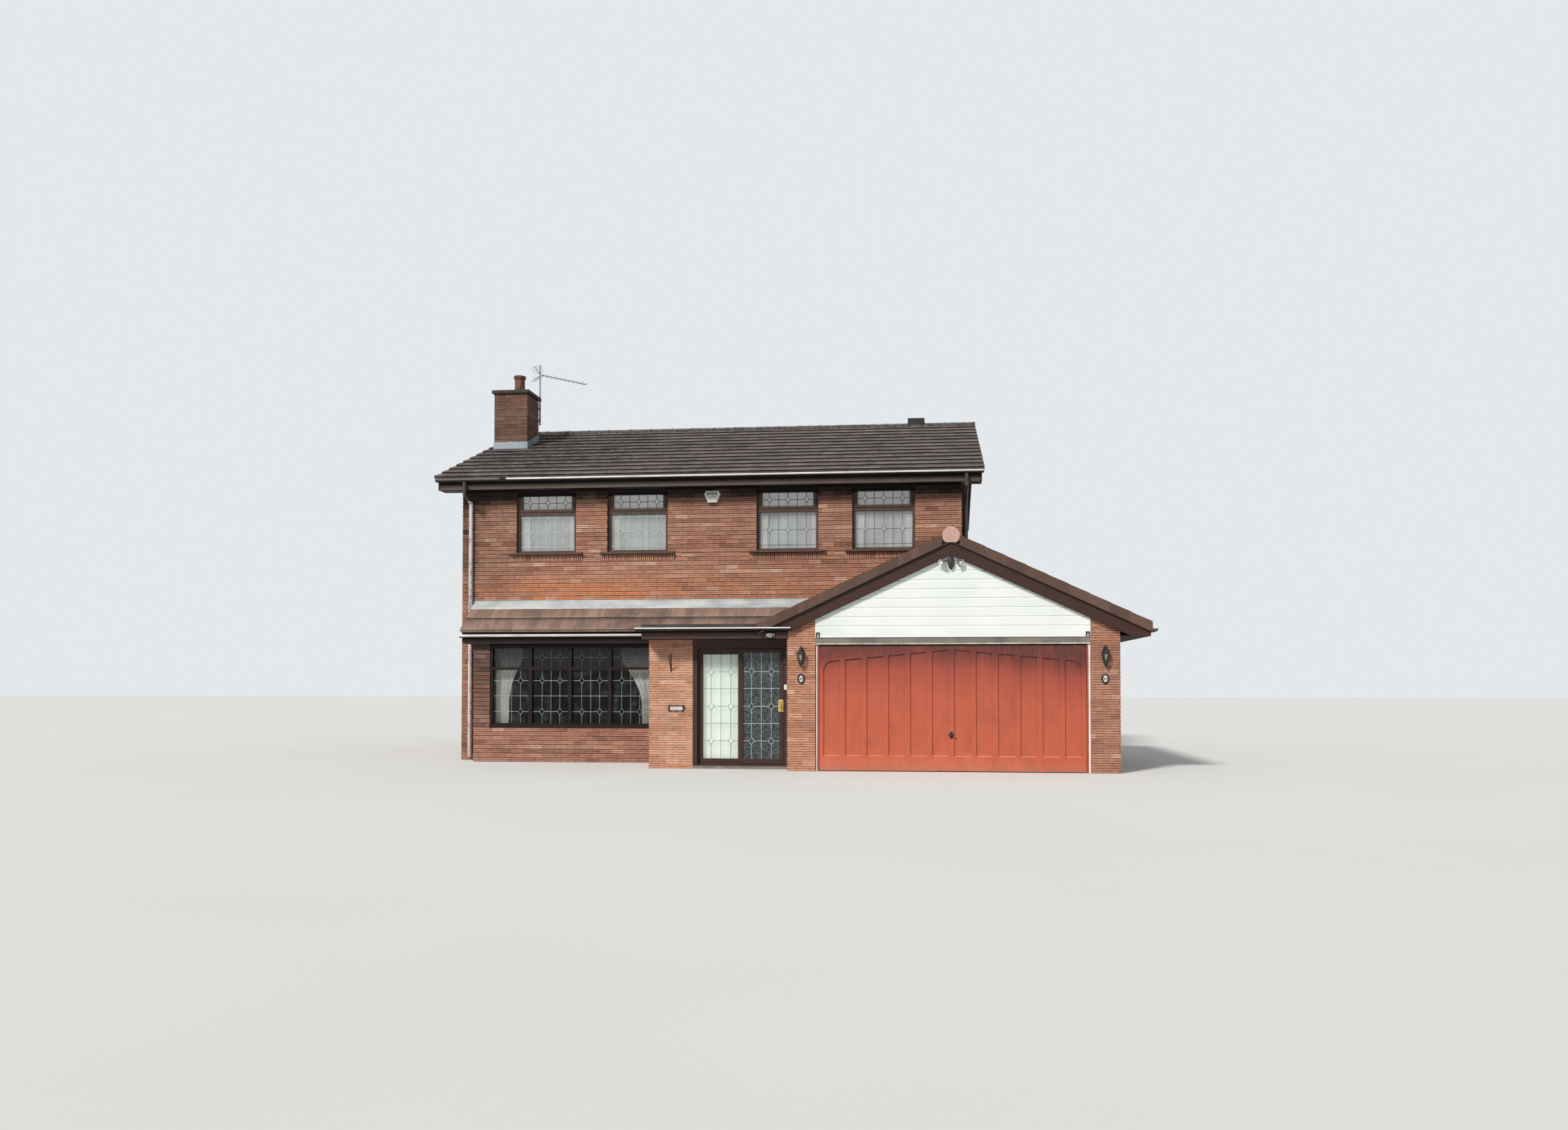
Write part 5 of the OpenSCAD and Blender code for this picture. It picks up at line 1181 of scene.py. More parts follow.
# The garage is fair-faced inside, which shows once its door is up.
inner_left, inner_right = PIERS_LOW.x + GARAGE_WALL, PIERS_HIGH.x - GARAGE_WALL
inner_front, inner_back = PIERS_LOW.y + GARAGE_WALL, GARAGE_HIGH.y - GARAGE_WALL
for place, side, out, ends in (
        ("back", "front", 0.0, (inner_left, MAIN_X)),
        ("house", "right", MAIN_X, (0.0, inner_back)),
        ("rear", "front", -inner_back, (MAIN_X, inner_right)),
        ("left", "right", inner_left, (inner_front, 0.0)),
        ("right", "left", -inner_right, (-inner_back, -inner_front))):
    lay("garage_inner_brick_" + place, side, out, ends, 0.0, GARAGE_EAVE_Z, proud=FLUSH)


# Roof tiles

GAUGE = 0.345
COVER = 0.2975


def tile_shape(cover, gauge, nose, front, edge, back):
    """Flat interlocking tile: its nose stands up over a shadow gap, and its head tucks under the
    next. A dark coat, part dirt and part painted shade, lies on the nose by the share `front`, down
    both sides by the share `edge`, and against the next tile up by the share `back`, where it is
    painted shadow of that tile; the nose's upper edge is pale, part wear and part painted
    highlight, which the profile marks with -1."""
    head = gauge + 0.012
    fall = (nose - 0.004) / head
    profile = [(0.004, 0.004, 1.0), (0.0, 0.010, 1.0), (0.0, nose * 0.74, front),
               (0.0, nose * 0.78, -1.0), (0.004, nose, -1.0), (0.022, nose - 0.022 * fall, 0.0),
               (0.24, nose - 0.24 * fall, 0.28 * back), (head - 0.03, 0.006, back),
               (head, 0.004, 1.0), (head, -0.002, 1.0)]
    half = cover / 2 - 0.0018
    across = [(-half, edge), (0.008 - half, 0.0), (half - 0.008, 0.0), (half, edge)]

    def build(bm):
        grime_and_shade = bm.verts.layers.float.new("grime_and_shade")
        worn = bm.verts.layers.float.new("worn")
        rings = skin(bm, [[(x, y, z) for y, z, _ in profile] for x, _ in across])
        for ring, (_, side) in zip(rings, across):
            for vert, (_, _, dirt) in zip(ring, profile):
                vert[grime_and_shade] = max(dirt, side)
                vert[worn] = 1.0 if dirt < 0 else 0.0
    return build


GREY_UNIT = unit("grey_tile_unit", tile_shape(COVER, GAUGE, 0.032, 1.0, 0.35, 1.0))
BROWN_UNIT = unit("brown_tile_unit", tile_shape(COVER, GAUGE, 0.018, 0.6, 0.8, 0.75))


def slope(origin, across, up):
    """Frame on a roof slope: X along the eaves, Y up the slope, Z out of it."""
    x, y = Vector(across).normalized(), Vector(up).normalized()
    return Matrix.Translation(origin) @ Matrix((x, y, x.cross(y))).transposed().to_4x4()


def tiled(name, place, length, rise, tile, finish, seed):
    """Tiles over a slope, from its lower left corner."""
    columns = math.ceil(length / COVER - 0.3)
    mesh = grow(name, LAY_TILES, {"Columns": columns, "Rows": math.ceil(rise / GAUGE),
                                  "Gauge": GAUGE, "Cover": length / columns, "Play": 0.004,
                                  "Seed": seed, "Unit": tile, "Finish": finish})
    mesh.transform(place)
    return mesh


def up_slope(pitch, x, y):
    """Direction up a slope that climbs along (x, y)."""
    return Vector((x * math.cos(pitch), y * math.cos(pitch), math.sin(pitch)))


eave_z = main_roof_z(EAVE.y)
main_length = RIDGE.x - EAVE.x
main_rise = (RIDGE.y - EAVE.y) / math.cos(MAIN_PITCH)
for label, corner, facing, seed in (("front", (EAVE.x, EAVE.y, eave_z), 1, 3),
                                    ("rear", (RIDGE.x, 2 * RIDGE.y - EAVE.y, eave_z), -1, 4)):
    place = slope(corner, (facing, 0, 0), up_slope(MAIN_PITCH, 0, facing))
    tiles = tiled(label + "_tiles", place, main_length, main_rise, GREY_UNIT, GREY_TILE, seed)
    piece(label + "_roof_tiles", cut(tiles, (0, RIDGE.y, 0), (0, facing, 0)), "house")

valley_point = (GARAGE_EDGE_LOW.x, -LEAN_OUT, 0)
valley_normal = Vector((math.tan(GARAGE_PITCH), -math.tan(LEAN_PITCH), 0))
lean_tiles = tiled("lean_tiles",
                   slope((LEAN_LOW.x, -LEAN_OUT, LEAN_Z), (1, 0, 0), up_slope(LEAN_PITCH, 0, 1)),
                   GARAGE_MID - LEAN_LOW.x, 2 * GAUGE, BROWN_UNIT, BROWN_TILE, 5)
cut(lean_tiles, valley_point, valley_normal)
piece("lean_to_tiles", lean_tiles, "house")


def lean_top(y):
    """Height of the lean-to's slope at a depth."""
    return LEAN_Z + (y + LEAN_OUT) * math.tan(LEAN_PITCH)


def lapped_lead(bm):
    """Lead over the lean-to in lengths of 1.5 m, each lapped over the next, dressed up the wall
    and down the tiles."""
    x, lift = LEAN_LOW.x, 0.0
    while x < GARAGE_MID:
        drawn(bm,
              [(-0.013, LEAD_TOP - 0.004), (-0.012, lean_top(-0.012) + 0.020 + lift),
               (-0.075, lean_top(-0.075) + 0.017 + lift), (-0.137, lean_top(-0.137) + 0.014 + lift),
               (-0.141, lean_top(-0.141) + 0.003), (-0.136, lean_top(-0.136) + 0.002),
               (-0.133, lean_top(-0.133) + 0.010 + lift), (-0.075, lean_top(-0.075) + 0.013 + lift),
               (-0.008, lean_top(-0.008) + 0.014 + lift), (-0.007, LEAD_TOP - 0.004)], x, x + 1.58)
        x += 1.5
        lift = 0.002 - lift


piece("lean_to_lead", cut(mesh_of("lean_to_lead", lapped_lead), valley_point, valley_normal),
      "house", LEAD)

garage_rise = (GARAGE_MID - GARAGE_EDGE_LOW.x) / math.cos(GARAGE_PITCH)
left_tiles = tiled("left_tiles",
                   slope((GARAGE_EDGE_LOW.x, 0, GARAGE_LOW_Z), (0, -1, 0),
                         up_slope(GARAGE_PITCH, 1, 0)),
                   -GARAGE_EDGE_LOW.y, garage_rise, BROWN_UNIT, BROWN_TILE, 6)
cut(cut(left_tiles, valley_point, -valley_normal), (GARAGE_MID, 0, 0), (1, 0, 0))
piece("garage_tiles_left", left_tiles, "house")
right_place = slope((GARAGE_EDGE_HIGH.x, GARAGE_EDGE_LOW.y, GARAGE_LOW_Z), (0, 1, 0),
                    up_slope(GARAGE_PITCH, -1, 0))
right_length = GARAGE_EDGE_HIGH.y - GARAGE_EDGE_LOW.y
near_tiles = tiled("near_tiles", right_place, right_length, garage_rise, BROWN_UNIT, BROWN_TILE, 7)
far_tiles = near_tiles.copy()
cut(cut(near_tiles, (0, 0, 0), (0, 1, 0)), (GARAGE_MID, 0, 0), (-1, 0, 0))
cut(cut(far_tiles, (0, 0, 0), (0, -1, 0)), (MAIN_X + PROUD, 0, 0), (-1, 0, 0))
piece("garage_tiles_right", joined(near_tiles, far_tiles), "house")


def half_round(radius, length, thick):
    """Half-round ridge tile along Y, with a thicker lip at its near end."""
    def build(bm):
        arc_shell(bm, radius, thick, -8, 188,
                  [(0.0, 0.006), (0.035, 0.006), (0.04, 0.0), (length, 0.0)])
    return build


RIDGE_STEP = 0.446
RIDGE_DROP = 0.05
RIDGE_UNIT = unit("ridge_unit", half_round(0.128, 0.438, 0.012))
main_ridge_tiles = grow("main_ridge_tiles", REPEAT, {
    "Count": round(main_length / RIDGE_STEP), "Step": (0, RIDGE_STEP, 0), "Play": 0.004, "Seed": 2,
    "Unit": RIDGE_UNIT, "Finish": RIDGE_TILE})
main_ridge_tiles.transform(Matrix.Translation((RIDGE.x - 0.005, RIDGE.y, RIDGE.z - RIDGE_DROP))
                           @ Matrix.Rotation(math.pi / 2, 4, "Z"))
piece("main_ridge_tiles", cut(main_ridge_tiles, (EAVE.x, 0, 0), (-1, 0, 0)), "house")
garage_ridge_tiles = grow("garage_ridge_tiles", REPEAT, {
    "Count": 5, "Step": (0, RIDGE_STEP, 0), "Play": 0.004, "Seed": 9, "Unit": RIDGE_UNIT,
    "Finish": BROWN_TILE})
garage_ridge_tiles.transform(Matrix.Translation((GARAGE_MID, GARAGE_EDGE_LOW.y + 0.012,
                                                 garage_roof_z(GARAGE_MID) - RIDGE_DROP)))
piece("garage_ridge_tiles", cut(garage_ridge_tiles, (0, -0.008, 0), (0, 1, 0)), "house")


def verge_shape(direction):
    """Cloaked verge tile: a deep plate whose lower end stands out past the next one down."""
    over, climb = 0.03, 0.466
    far = direction * (GAUGE * math.cos(GARAGE_PITCH) + over)
    rise = GAUGE * math.sin(GARAGE_PITCH) + over * climb
    outline = [(0.0, -0.143), (far, rise - 0.141), (far, rise + 0.010), (0.0, 0.020)]
    return lambda bm: extruded(bm, outline, -0.010, 0.045)


for label, direction, start in (("left", 1, GARAGE_EDGE_LOW.x), ("right", -1, GARAGE_EDGE_HIGH.x)):
    plate = unit("verge_unit_" + label, verge_shape(direction))
    step = (direction * GAUGE * math.cos(GARAGE_PITCH), 0.0, GAUGE * math.sin(GARAGE_PITCH))
    verge = grow("verge_" + label, REPEAT, {"Count": 10, "Step": step, "Play": 0.002, "Seed": 12,
                                            "Unit": plate, "Finish": VERGE_TILE})
    verge.transform(Matrix.Translation((start, GARAGE_EDGE_LOW.y - 0.014, GARAGE_LOW_Z)))
    cut(verge, (GARAGE_MID - direction * 0.135, 0, 0), (direction, 0, 0))
    if direction > 0:
        cut(verge, (0, 0, 2.215), (0, 0, -1))
    piece("verge_tiles_" + label, verge, "house")
    foot, foot_z, top_z = start + direction * 0.02, GARAGE_LOW_Z + 0.009, garage_roof_z(GARAGE_MID)
    # The strip under the verge tiles, their undercloak, is made black as painted shadow between the
    # tiles and the bargeboard.
    gap = [(foot, foot_z - 0.155), (GARAGE_MID, top_z - 0.155), (GARAGE_MID, top_z - 0.138),
           (foot, foot_z - 0.138)]
    piece("verge_joint_" + label,
          lambda bm: extruded(bm, gap, GARAGE_EDGE_LOW.y - 0.006, GARAGE_EDGE_LOW.y + 0.02),
          "house", DARK_SLOT)


# Windows: glass, leads and cloth

def leaded(name, finish, width, y, body, panes):
    """Lead strips on panes. Each pane is (x0, x1, z0, z1, uprights, rows); a row is (z, the
    uprights that carry a diamond on it)."""
    bm = bmesh.new()

    def line(*points):
        spots = [bm.verts.new((x, y, z)) for x, z in points]
        for a, b in zip(spots, spots[1:]):
            bm.edges.new((a, b))

    for x0, x1, z0, z1, uprights, rows in panes:
        for number, x in enumerate(uprights):
            marks = sorted(z for z, carried in rows if number in carried)
            start = z0
            for z in marks:
                line((x, start), (x, z - DIAMOND_H))
                line((x, z - DIAMOND_H), (x + DIAMOND_W, z), (x, z + DIAMOND_H), (x - DIAMOND_W, z),
                     (x, z - DIAMOND_H))
                start = z + DIAMOND_H
            if start < z1:
                line((x, start), (x, z1))
        for z, carried in rows:
            start = x0
            for number in sorted(carried):
                line((start, z), (uprights[number] - DIAMOND_W, z))
                start = uprights[number] + DIAMOND_W
            line((start, z), (x1, z))
    host = bpy.data.meshes.new(name)
    bm.to_mesh(host)
    bm.free()
    mesh = grow(name, LEAD_LINES, {"Width": width, "Finish": finish}, host)
    return piece(name, mesh, body)


DIAMOND_W = 0.045
DIAMOND_H = 0.060
LIGHT = 0.163


def upper_panes(xs, z0):
    """Top lights have a row of diamonds; the lower panes have a plain row and a row of diamonds."""
    top, low = [], []
    for x in xs:
        uprights = [x + LIGHT * k for k in (-2, -1, 0, 1, 2)]
        top.append((x - 0.454, x + 0.454, z0 + 0.818, z0 + 1.065, uprights,
                    [(z0 + 0.941, (0, 2, 4))]))
        low.append((x - 0.499, x + 0.499, z0 + 0.080, z0 + 0.724, uprights,
                    [(z0 + 0.675, ()), (z0 + 0.411, (0, 2, 4)), (z0 + 0.145, ())]))
    return top, low


for label, xs, z0, y in (("front_upper", WINDOW_XS, WINDOW_Z[0], UPPER_LEADS_Y),
                         ("rear_upper", WINDOW_XS, WINDOW_Z[0], MAIN_D - UPPER_LEADS_Y),
                         ("rear_lower", REAR_LOW_XS, REAR_LOW_Z[0], MAIN_D - UPPER_LEADS_Y)):
    tops, lows = upper_panes(xs, z0)
    leaded(label + "_leads_top", LEAD_DARK, 0.010, y, "house", tops)
    leaded(label + "_leads_low", LEAD_PALEST, 0.011, y, "house", lows[:2])
    leaded(label + "_leads_low_right", LEAD_DULL, 0.009, y, "house", lows[2:])


def bay_pane_left(k):
    """Left edge of a pane of the bay window."""
    return BAY_LEFT + BAY_STILE + k * (BAY_PANE + BAY_MULLION)


bay_panes, bay_tops = [], []
for k in range(4):
    left = bay_pane_left(k)
    mid = left + BAY_PANE / 2
    uprights = [mid - 0.16, mid, mid + 0.16]
    bay_panes.append((left, left + BAY_PANE, 0.67, 1.601, uprights,
                      [(1.415, (0, 2)), (1.147, ()), (0.874, (0, 2))]))
    bay_tops.append((left, left + BAY_PANE, 1.649, 1.98, uprights, [(1.8145, (0, 2))]))
leaded("bay_leads", LEAD_PALE, 0.0085, BAY_LEADS_Y, "house", bay_panes)
leaded("bay_leads_top", LEAD_DARK, 0.008, BAY_LEADS_Y, "house", bay_tops)
porch_rows = [(1.556, (0, 2)), (1.286, ()), (0.998, (0, 2)), (0.725, ()), (0.446, (0, 2))]
leaded("porch_fixed_leads", LEAD_SOFT, 0.010, PORCH_LEADS_Y, "house",
       [(0.259, 0.845, 0.16, 1.835, [0.392, 0.552, 0.712], porch_rows)])
leaded("porch_sliding_leads", LEAD_BRIGHT, 0.013, LEAF_LEADS_Y, "porch_leaf",
       [(0.925, 1.511, 0.16, 1.864, [1.058, 1.218, 1.378], porch_rows)])


def pleated(name, rows, y, count, fullness, finish):
    """Gathered cloth hung from its top. Each row is (height, left, right); the folds deepen where
    the cloth is drawn in, so that every row keeps the cloth's full width."""
    steps = count * 8
    wide = fullness * max(right - left for _, left, right in rows)
    weights = [chance.uniform(0.5, 1.2) for _ in range(count)]

    def line(z, left, right, depth):
        points = []
        for k in range(steps + 1):
            share = k / steps
            weight = weights[min(int(share * count), count - 1)]
            wave = math.sin(2 * math.pi * count * share)
            points.append(Vector((left + (right - left) * share, y + depth * weight * wave, z)))
        return points

    bm = bmesh.new()
    last = None
    for z, left, right in rows:
        low, high = 0.0, 0.4
        for _ in range(24):
            depth = (low + high) / 2
            spots = line(z, left, right, depth)
            if sum((b - a).length for a, b in zip(spots, spots[1:])) > wide:
                high = depth
            else:
                low = depth
        verts = [bm.verts.new(p) for p in spots]
        if last:
            for i in range(steps):
                bm.faces.new((last[i], verts[i], verts[i + 1], last[i + 1]))
        last = verts
    area = sum(f.calc_area() for f in bm.faces)
    mesh = bpy.data.meshes.new(name)
    bm.to_mesh(mesh)
    bm.free()
    mesh.shade_smooth()
    cloth = piece(name, mesh, "house", finish, ["curtains"])
    return cloth


def heights(top, foot, count):
    """Even steps from a top down to a foot."""
    return [top + (foot - top) * k / count for k in range(count + 1)]


for label, xs, z0, wall, inward in (("front", WINDOW_XS, WINDOW_Z[0], 0, 1),
                                    ("rear", WINDOW_XS, WINDOW_Z[0], MAIN_D, -1),
                                    ("rear_low", REAR_LOW_XS, REAR_LOW_Z[0], MAIN_D, -1)):
    for number, x in enumerate(xs):
        pleated(f"{label}_net_{number}",
                [(z, x - 0.52, x + 0.52) for z in heights(z0 + 1.115, z0 + 0.055, 6)],
                wall + inward * 0.155, 9, 1.01, NET)
        pleated(f"{label}_heading_{number}",
                [(z, x - 0.50, x + 0.50) for z in heights(z0 + 1.10, z0 + 0.76, 2)],
                wall + inward * 0.1235, 30, 1.02, VALANCE)


DRAPES = [(0.17, 0.11), (0.15, 0.0), (0.14, 0.08), (0.16, 0.12)]
for number, (x, (near, far)) in enumerate(zip(WINDOW_XS, DRAPES)):
    for label, wide, mid in (("left", near, x - 0.50 + near / 2),
                             ("right", far, x + 0.50 - far / 2)):
        if wide:
            rows = [(z, mid - wide / 2, mid + wide / 2 + 0.012 * math.sin(7 * z + number))
                    for z in heights(4.40, 3.715, 8)]
            pleated(f"front_drape_{number}_{label}", rows, 0.134, 5, 1.35, DRAPE)


def tied(name, edge, toward, widths, y):
    """A curtain drawn aside and tied, from its width at each height: full at the rail and narrow
    below the tie."""
    rows = [(z, min(edge, edge + toward * wide), max(edge, edge + toward * wide))
            for z, wide in widths]
    return pleated(name, rows, y, 9, 1.35, CURTAIN)


tied("bay_curtain_left", -3.72, 1, [(2.02, 0.50), (1.86, 0.49), (1.70, 0.45), (1.60, 0.39),
                                    (1.48, 0.34), (1.36, 0.30), (1.22, 0.27), (1.10, 0.25),
                                    (0.95, 0.25), (0.80, 0.245), (0.66, 0.24)], -0.27)
tied("bay_curtain_right", -0.92, -1, [(2.02, 0.54), (1.86, 0.53), (1.70, 0.50), (1.58, 0.40),
                                      (1.47, 0.33), (1.36, 0.27), (1.22, 0.21), (1.10, 0.18),
                                      (0.95, 0.17), (0.80, 0.165), (0.66, 0.16)], -0.27)
pleated("porch_curtain", [(z, 0.232, 0.842) for z in heights(1.95, 0.10, 8)], -1.575, 20, 1.12,
        PORCH_CLOTH)


# Timber, rainwater goods and the garage front

for node, finish, slot, bevel in (
        ("window_frames", TIMBER_TALL, "brown_timber", 0.004),
        ("window_sills", SILL_TIMBER, "brown_timber", 0.004),
        ("bay_window_frame", BAY_TIMBER_IN_SHADE, "brown_timber", 0.004),
        ("main_fascias", TIMBER_LONG, "brown_timber", 0.003),
        ("bargeboards", BARGE, "brown_timber", 0.003),
        ("lean_to_fascia", LEAN_FASCIA, "brown_timber", 0.003),
        ("porch_fascia", PORCH_FASCIA, "brown_timber", 0.003),
        ("porch_door_frame", DARK_TIMBER, "brown_timber", 0.004),
        ("garage_head_beam", BEAM, "beam_steel", 0.003),
        ("garage_door_posts", POST_PAINT, "white_board", 0.004),
        ("chimney_cap", CAP_STONE, "concrete", 0.008), ("porch_roof", FELT, "felt", 0.006)):
    refined(node, node + "_finish", "house", finish, bevel)


def bay_covers(bm):
    """Flat strips planted on the bay window's mullions."""
    for k in (1, 2, 3):
        x = bay_pane_left(k) - 0.029
        slab(bm, (x - 0.033, -0.4365, 0.665), (x + 0.033, -0.4295, 1.985))


piece("bay_cover_strips", bay_covers, "house", BAY_TIMBER_IN_SHADE)
refined("porch_sliding_door", "porch_sliding_door_finish", "porch_leaf",
        DARK_TIMBER, 0.004)
refined("porch_door_handle", "porch_door_handle_finish", "porch_leaf", BRASS, 0.002)
refined("garage_door", "garage_door_finish", "garage_leaf", DOOR_PAINT, 0)
refined("garage_door_handle", "garage_door_handle_finish", "garage_leaf", IRON, 0.002)
gutter_finish = refined("gutters", "gutter_finish", "house", GUTTER, 0.002, True)

# A pale band of bleaching and painted highlight runs down from each rim to a depth: main and rear
# gutter, porch, lean-to, garage.
bleach_and_highlight = gutter_finish.data.attributes.new("bleach_and_highlight", "FLOAT", "POINT")
for number, vert in enumerate(gutter_finish.data.vertices):
    x, y, z = vert.co
    if z > 4:
        rim, share, deep = GUTTER_Z, 1.0, 0.032
    elif y < -2.0 and x < 1.9:
        rim, share, deep = PORCH_GUTTER_Z, 1.0, 0.024
    elif -0.7 < y < -0.5 and x < 0:
        rim, share, deep = 2.215, 0.9, 0.044
    else:
        rim, share, deep = 2.205, 0.3, 0.020
    bleach_and_highlight.data[number].value = share * clamp((z - rim + deep) / 0.010)


GUTTER_R = 0.056


def bracket_shape(bm):
    """Gutter bracket: a strap under the trough, hooked to a plate on the board behind."""
    arc_shell(bm, GUTTER_R + 0.005, 0.004, 206, 360, [(-0.012, 0.0), (0.012, 0.0)])
    slab(bm, (GUTTER_R - 0.004, -0.012, -0.040), (GUTTER_R + 0.012, 0.012, 0.004))


def union_shape(bm):
    """Gutter union: a wider moulded sleeve with a raised bead at each end."""
    arc_shell(bm, GUTTER_R + 0.004, 0.003, 180, 360,
              [(-0.055, 0.003), (-0.047, 0.003), (-0.046, 0.0), (0.046, 0.0), (0.047, 0.003),
               (0.055, 0.003)])


BRACKET_UNIT = unit("bracket_unit", bracket_shape)
UNION_UNIT = unit("union_unit", union_shape)


def gutter_fittings(name, shape, finish, first, count, pitch, y, z, turn):
    """A row of brackets or unions along a gutter; the trough's front faces -X of the unit."""
    mesh = grow(name, REPEAT, {"Count": count, "Step": (0.0, -pitch, 0.0), "Play": 0.0, "Seed": 1,
                               "Unit": shape, "Finish": finish})
    mesh.transform(Matrix.Translation((first, y, z)) @ Matrix.Rotation(math.radians(turn), 4, "Z"))
    return piece(name, mesh, "house")


for name, shape, finish, first, count, pitch, y, z, turn in (
        ("main_gutter_brackets", BRACKET_UNIT, DARK_SLOT, -4.35, 11, 0.86, -GUTTER_OUT, GUTTER_Z,
         90),
        ("porch_gutter_brackets", BRACKET_UNIT, DARK_SLOT, -0.20, 3, 0.70, -2.1383,
         PORCH_GUTTER_Z, 90),
        ("rear_gutter_brackets", BRACKET_UNIT, DARK_SLOT, 4.35, 11, 0.86, MAIN_D + GUTTER_OUT,
         GUTTER_Z, -90),
        ("main_gutter_unions", UNION_UNIT, GUTTER, -3.57, 1, 3.1, -GUTTER_OUT, GUTTER_Z, 90),
        ("rear_gutter_unions", UNION_UNIT, GUTTER, 3.57, 3, 3.1, MAIN_D + GUTTER_OUT, GUTTER_Z,
         -90)):
    gutter_fittings(name, shape, finish, first, count, pitch, y, z, turn)
refined("downpipes", "downpipe_finish", "house", PIPE, 0.002, True)


def panel_light_strips(lower):
    """Strips along the upper or the lower edges of the door's recessed panels, from the recess's
    own faces: dark ones under the upper edges as painted shadow, pale ones on the lower ledges as
    painted highlight."""
    mesh = nodes["garage_door"].data
    near, far = (0.0005, 0.010) if lower else (-0.017, -0.0005)

    def build(bm):
        for face in mesh.polygons:
            spots = {tuple(round(c, 5) for c in mesh.vertices[v].co) for v in face.vertices}
            deep = max(y for _, y, _ in spots)
            level = sum(z for _, _, z in spots) / len(spots)
            inset = DOOR_LOW.y + 0.004 < deep < DOOR_LOW.y + 0.035
            inner = DOOR_LOW.z + 0.03 < level < DOOR_HIGH.z - 0.03
            up = face.normal.z
            edge = (up > 0.5 and level < 0.8) if lower else (up < -0.25 and level > 1.2)
            ends = sorted((x, z) for x, y, z in spots if y > deep - 1e-4)
            if inset and inner and edge and len(ends) == 2:
                (x0, z0), (x1, z1) = ends
                extruded(bm, [(x0, z0 + near), (x1, z1 + near), (x1, z1 + far), (x0, z0 + far)],
                         deep - 0.003, deep)
    return build


# Dark strips are painted shadow under the panels' top edges, pale ones painted highlight on their
# ledges.
for label, lower, pale, dark in (("upper", False, "5a2a21", "6b3327"),
                                 ("lower", True, "dc9c84", "c98067")):
    piece("garage_door_beads_" + label, panel_light_strips(lower), "garage_leaf",
          moulded_plastic("painted_light_strip_" + label, pale, dark, 0.7, 0.2))


def stack_collar(bm):
    """Lead dressed up the stack's four faces, following the roof."""
    low, high, out = STACK_LOW, STACK_HIGH, 0.015
    section = [(y, main_roof_z(y) + rise)
               for y, rise in ((low.y, -0.03), (high.y, -0.03), (high.y, 0.135), (low.y, 0.135))]
    drawn(bm, section, low.x - out, low.x)
    drawn(bm, section, high.x, high.x + out)
    for y0, y1 in ((low.y - out, low.y), (high.y, high.y + out)):
        roof = main_roof_z((y0 + y1) / 2)
        slab(bm, (low.x - out, y0, roof - 0.04), (high.x + out, y1, roof + 0.135))


piece("stack_collar", stack_collar, "house", STACK_LEAD)

for finish, *names in (
        (MORTAR, "front_wall_lower", "front_wall_upper", "rear_wall", "left_gable_wall",
         "right_gable_wall", "chimney_stack", "bay_walls", "garage_walls"),
        (PORCH_MORTAR, "porch_walls"), (PIER_MORTAR, "garage_piers"), (CONCRETE, "ground_floor"),
        (BOARDS, "upper_floor"), (GREY_TILE, "main_roof_front", "main_roof_rear"),
        (VENT_CLAY, "main_ridge"),
        (BROWN_TILE, "lean_to_roof", "garage_roof_left", "garage_roof_right"),
        (CAP_TILE, "garage_ridge"), (VERGE_TILE, "garage_verges"), (LEAD, "lead_flashings"),
        (AERIAL, "tv_aerial"), (ZINC, "garage_door_tracks", "garage_door_rollers"),
        (DOOR_GLASS, "porch_sliding_glass"), (WHITE_BOARD, "garage_cladding")):
    dress(finish, *names)
share_of("window_glass", "upper_glass", "house", DUST_AND_SKY_GLASS, lambda m: m.z > 3 or m.y > 1)
share_of("window_glass", "bay_glass", "house", GLASS, lambda m: m.z < 3 and -1 < m.y < 1)
share_of("window_glass", "porch_fixed_glass", "house", CLEAR_GLASS, lambda m: m.y < -1)


def fluted_pot(bm):
    """Thrown pot with pressed flutes between two rolls and a thick rim."""
    low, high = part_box("chimney_pot")
    tall = high.z - low.z
    radius = (high.x - low.x) / 2
    profile = [(0.94, 0.0), (1.0, 0.03), (1.0, 0.10), (0.92, 0.13), (0.86, 0.16), (0.84, 0.5),
               (0.84, 0.80), (0.92, 0.83), (0.99, 0.87), (1.0, 0.96), (0.95, 1.0), (0.76, 1.0),
               (0.70, 0.9), (0.70, 0.4)]
    rings = []
    for share, height in profile:
        ring = []
        for i, (c, s) in enumerate(circle(64)):
            flute = 0.045 if 0.14 < height < 0.82 and i % 4 in (1, 2) else 0.0
            reach = radius * (share - flute)
            ring.append(((low.x + high.x) / 2 + reach * c, (low.y + high.y) / 2 + reach * s,
                         low.z + tall * height))
        rings.append(ring)
    skin(bm, rings)


piece("fluted_pot", fluted_pot, "house", TERRACOTTA, ["chimney_pot"])

LAMP_XS = (PIERS_LOW.x + 0.22, PIERS_HIGH.x - 0.22)
LAMP_Z = 1.790
LAMP_OUT = 0.071
PLAQUE_Z = 1.440
PLATE_AT = (-0.159, PORCH_LOW.y, 0.966)
share_of("wall_ironwork", "wall_ironwork_finish", "house", IRON,
         lambda m: all(abs(m.x - x) > 0.1 for x in LAMP_XS) and abs(m.z - PLATE_AT[2]) > 0.05)
share_of("door_fittings", "bell_push", "house", WHITE_CASE, lambda m: m.z < 1.4)
share_of("door_fittings", "door_latch", "house", IRON, lambda m: 1.4 < m.z < 2.0)
share_of("door_fittings", "sensor_lamp", "house", GREY_CASE, lambda m: m.z > 2.0)
ALARM_MID = (ALARM_LOW.x + ALARM_HIGH.x) / 2
ALARM_TOP = ALARM_HIGH.z - 0.022


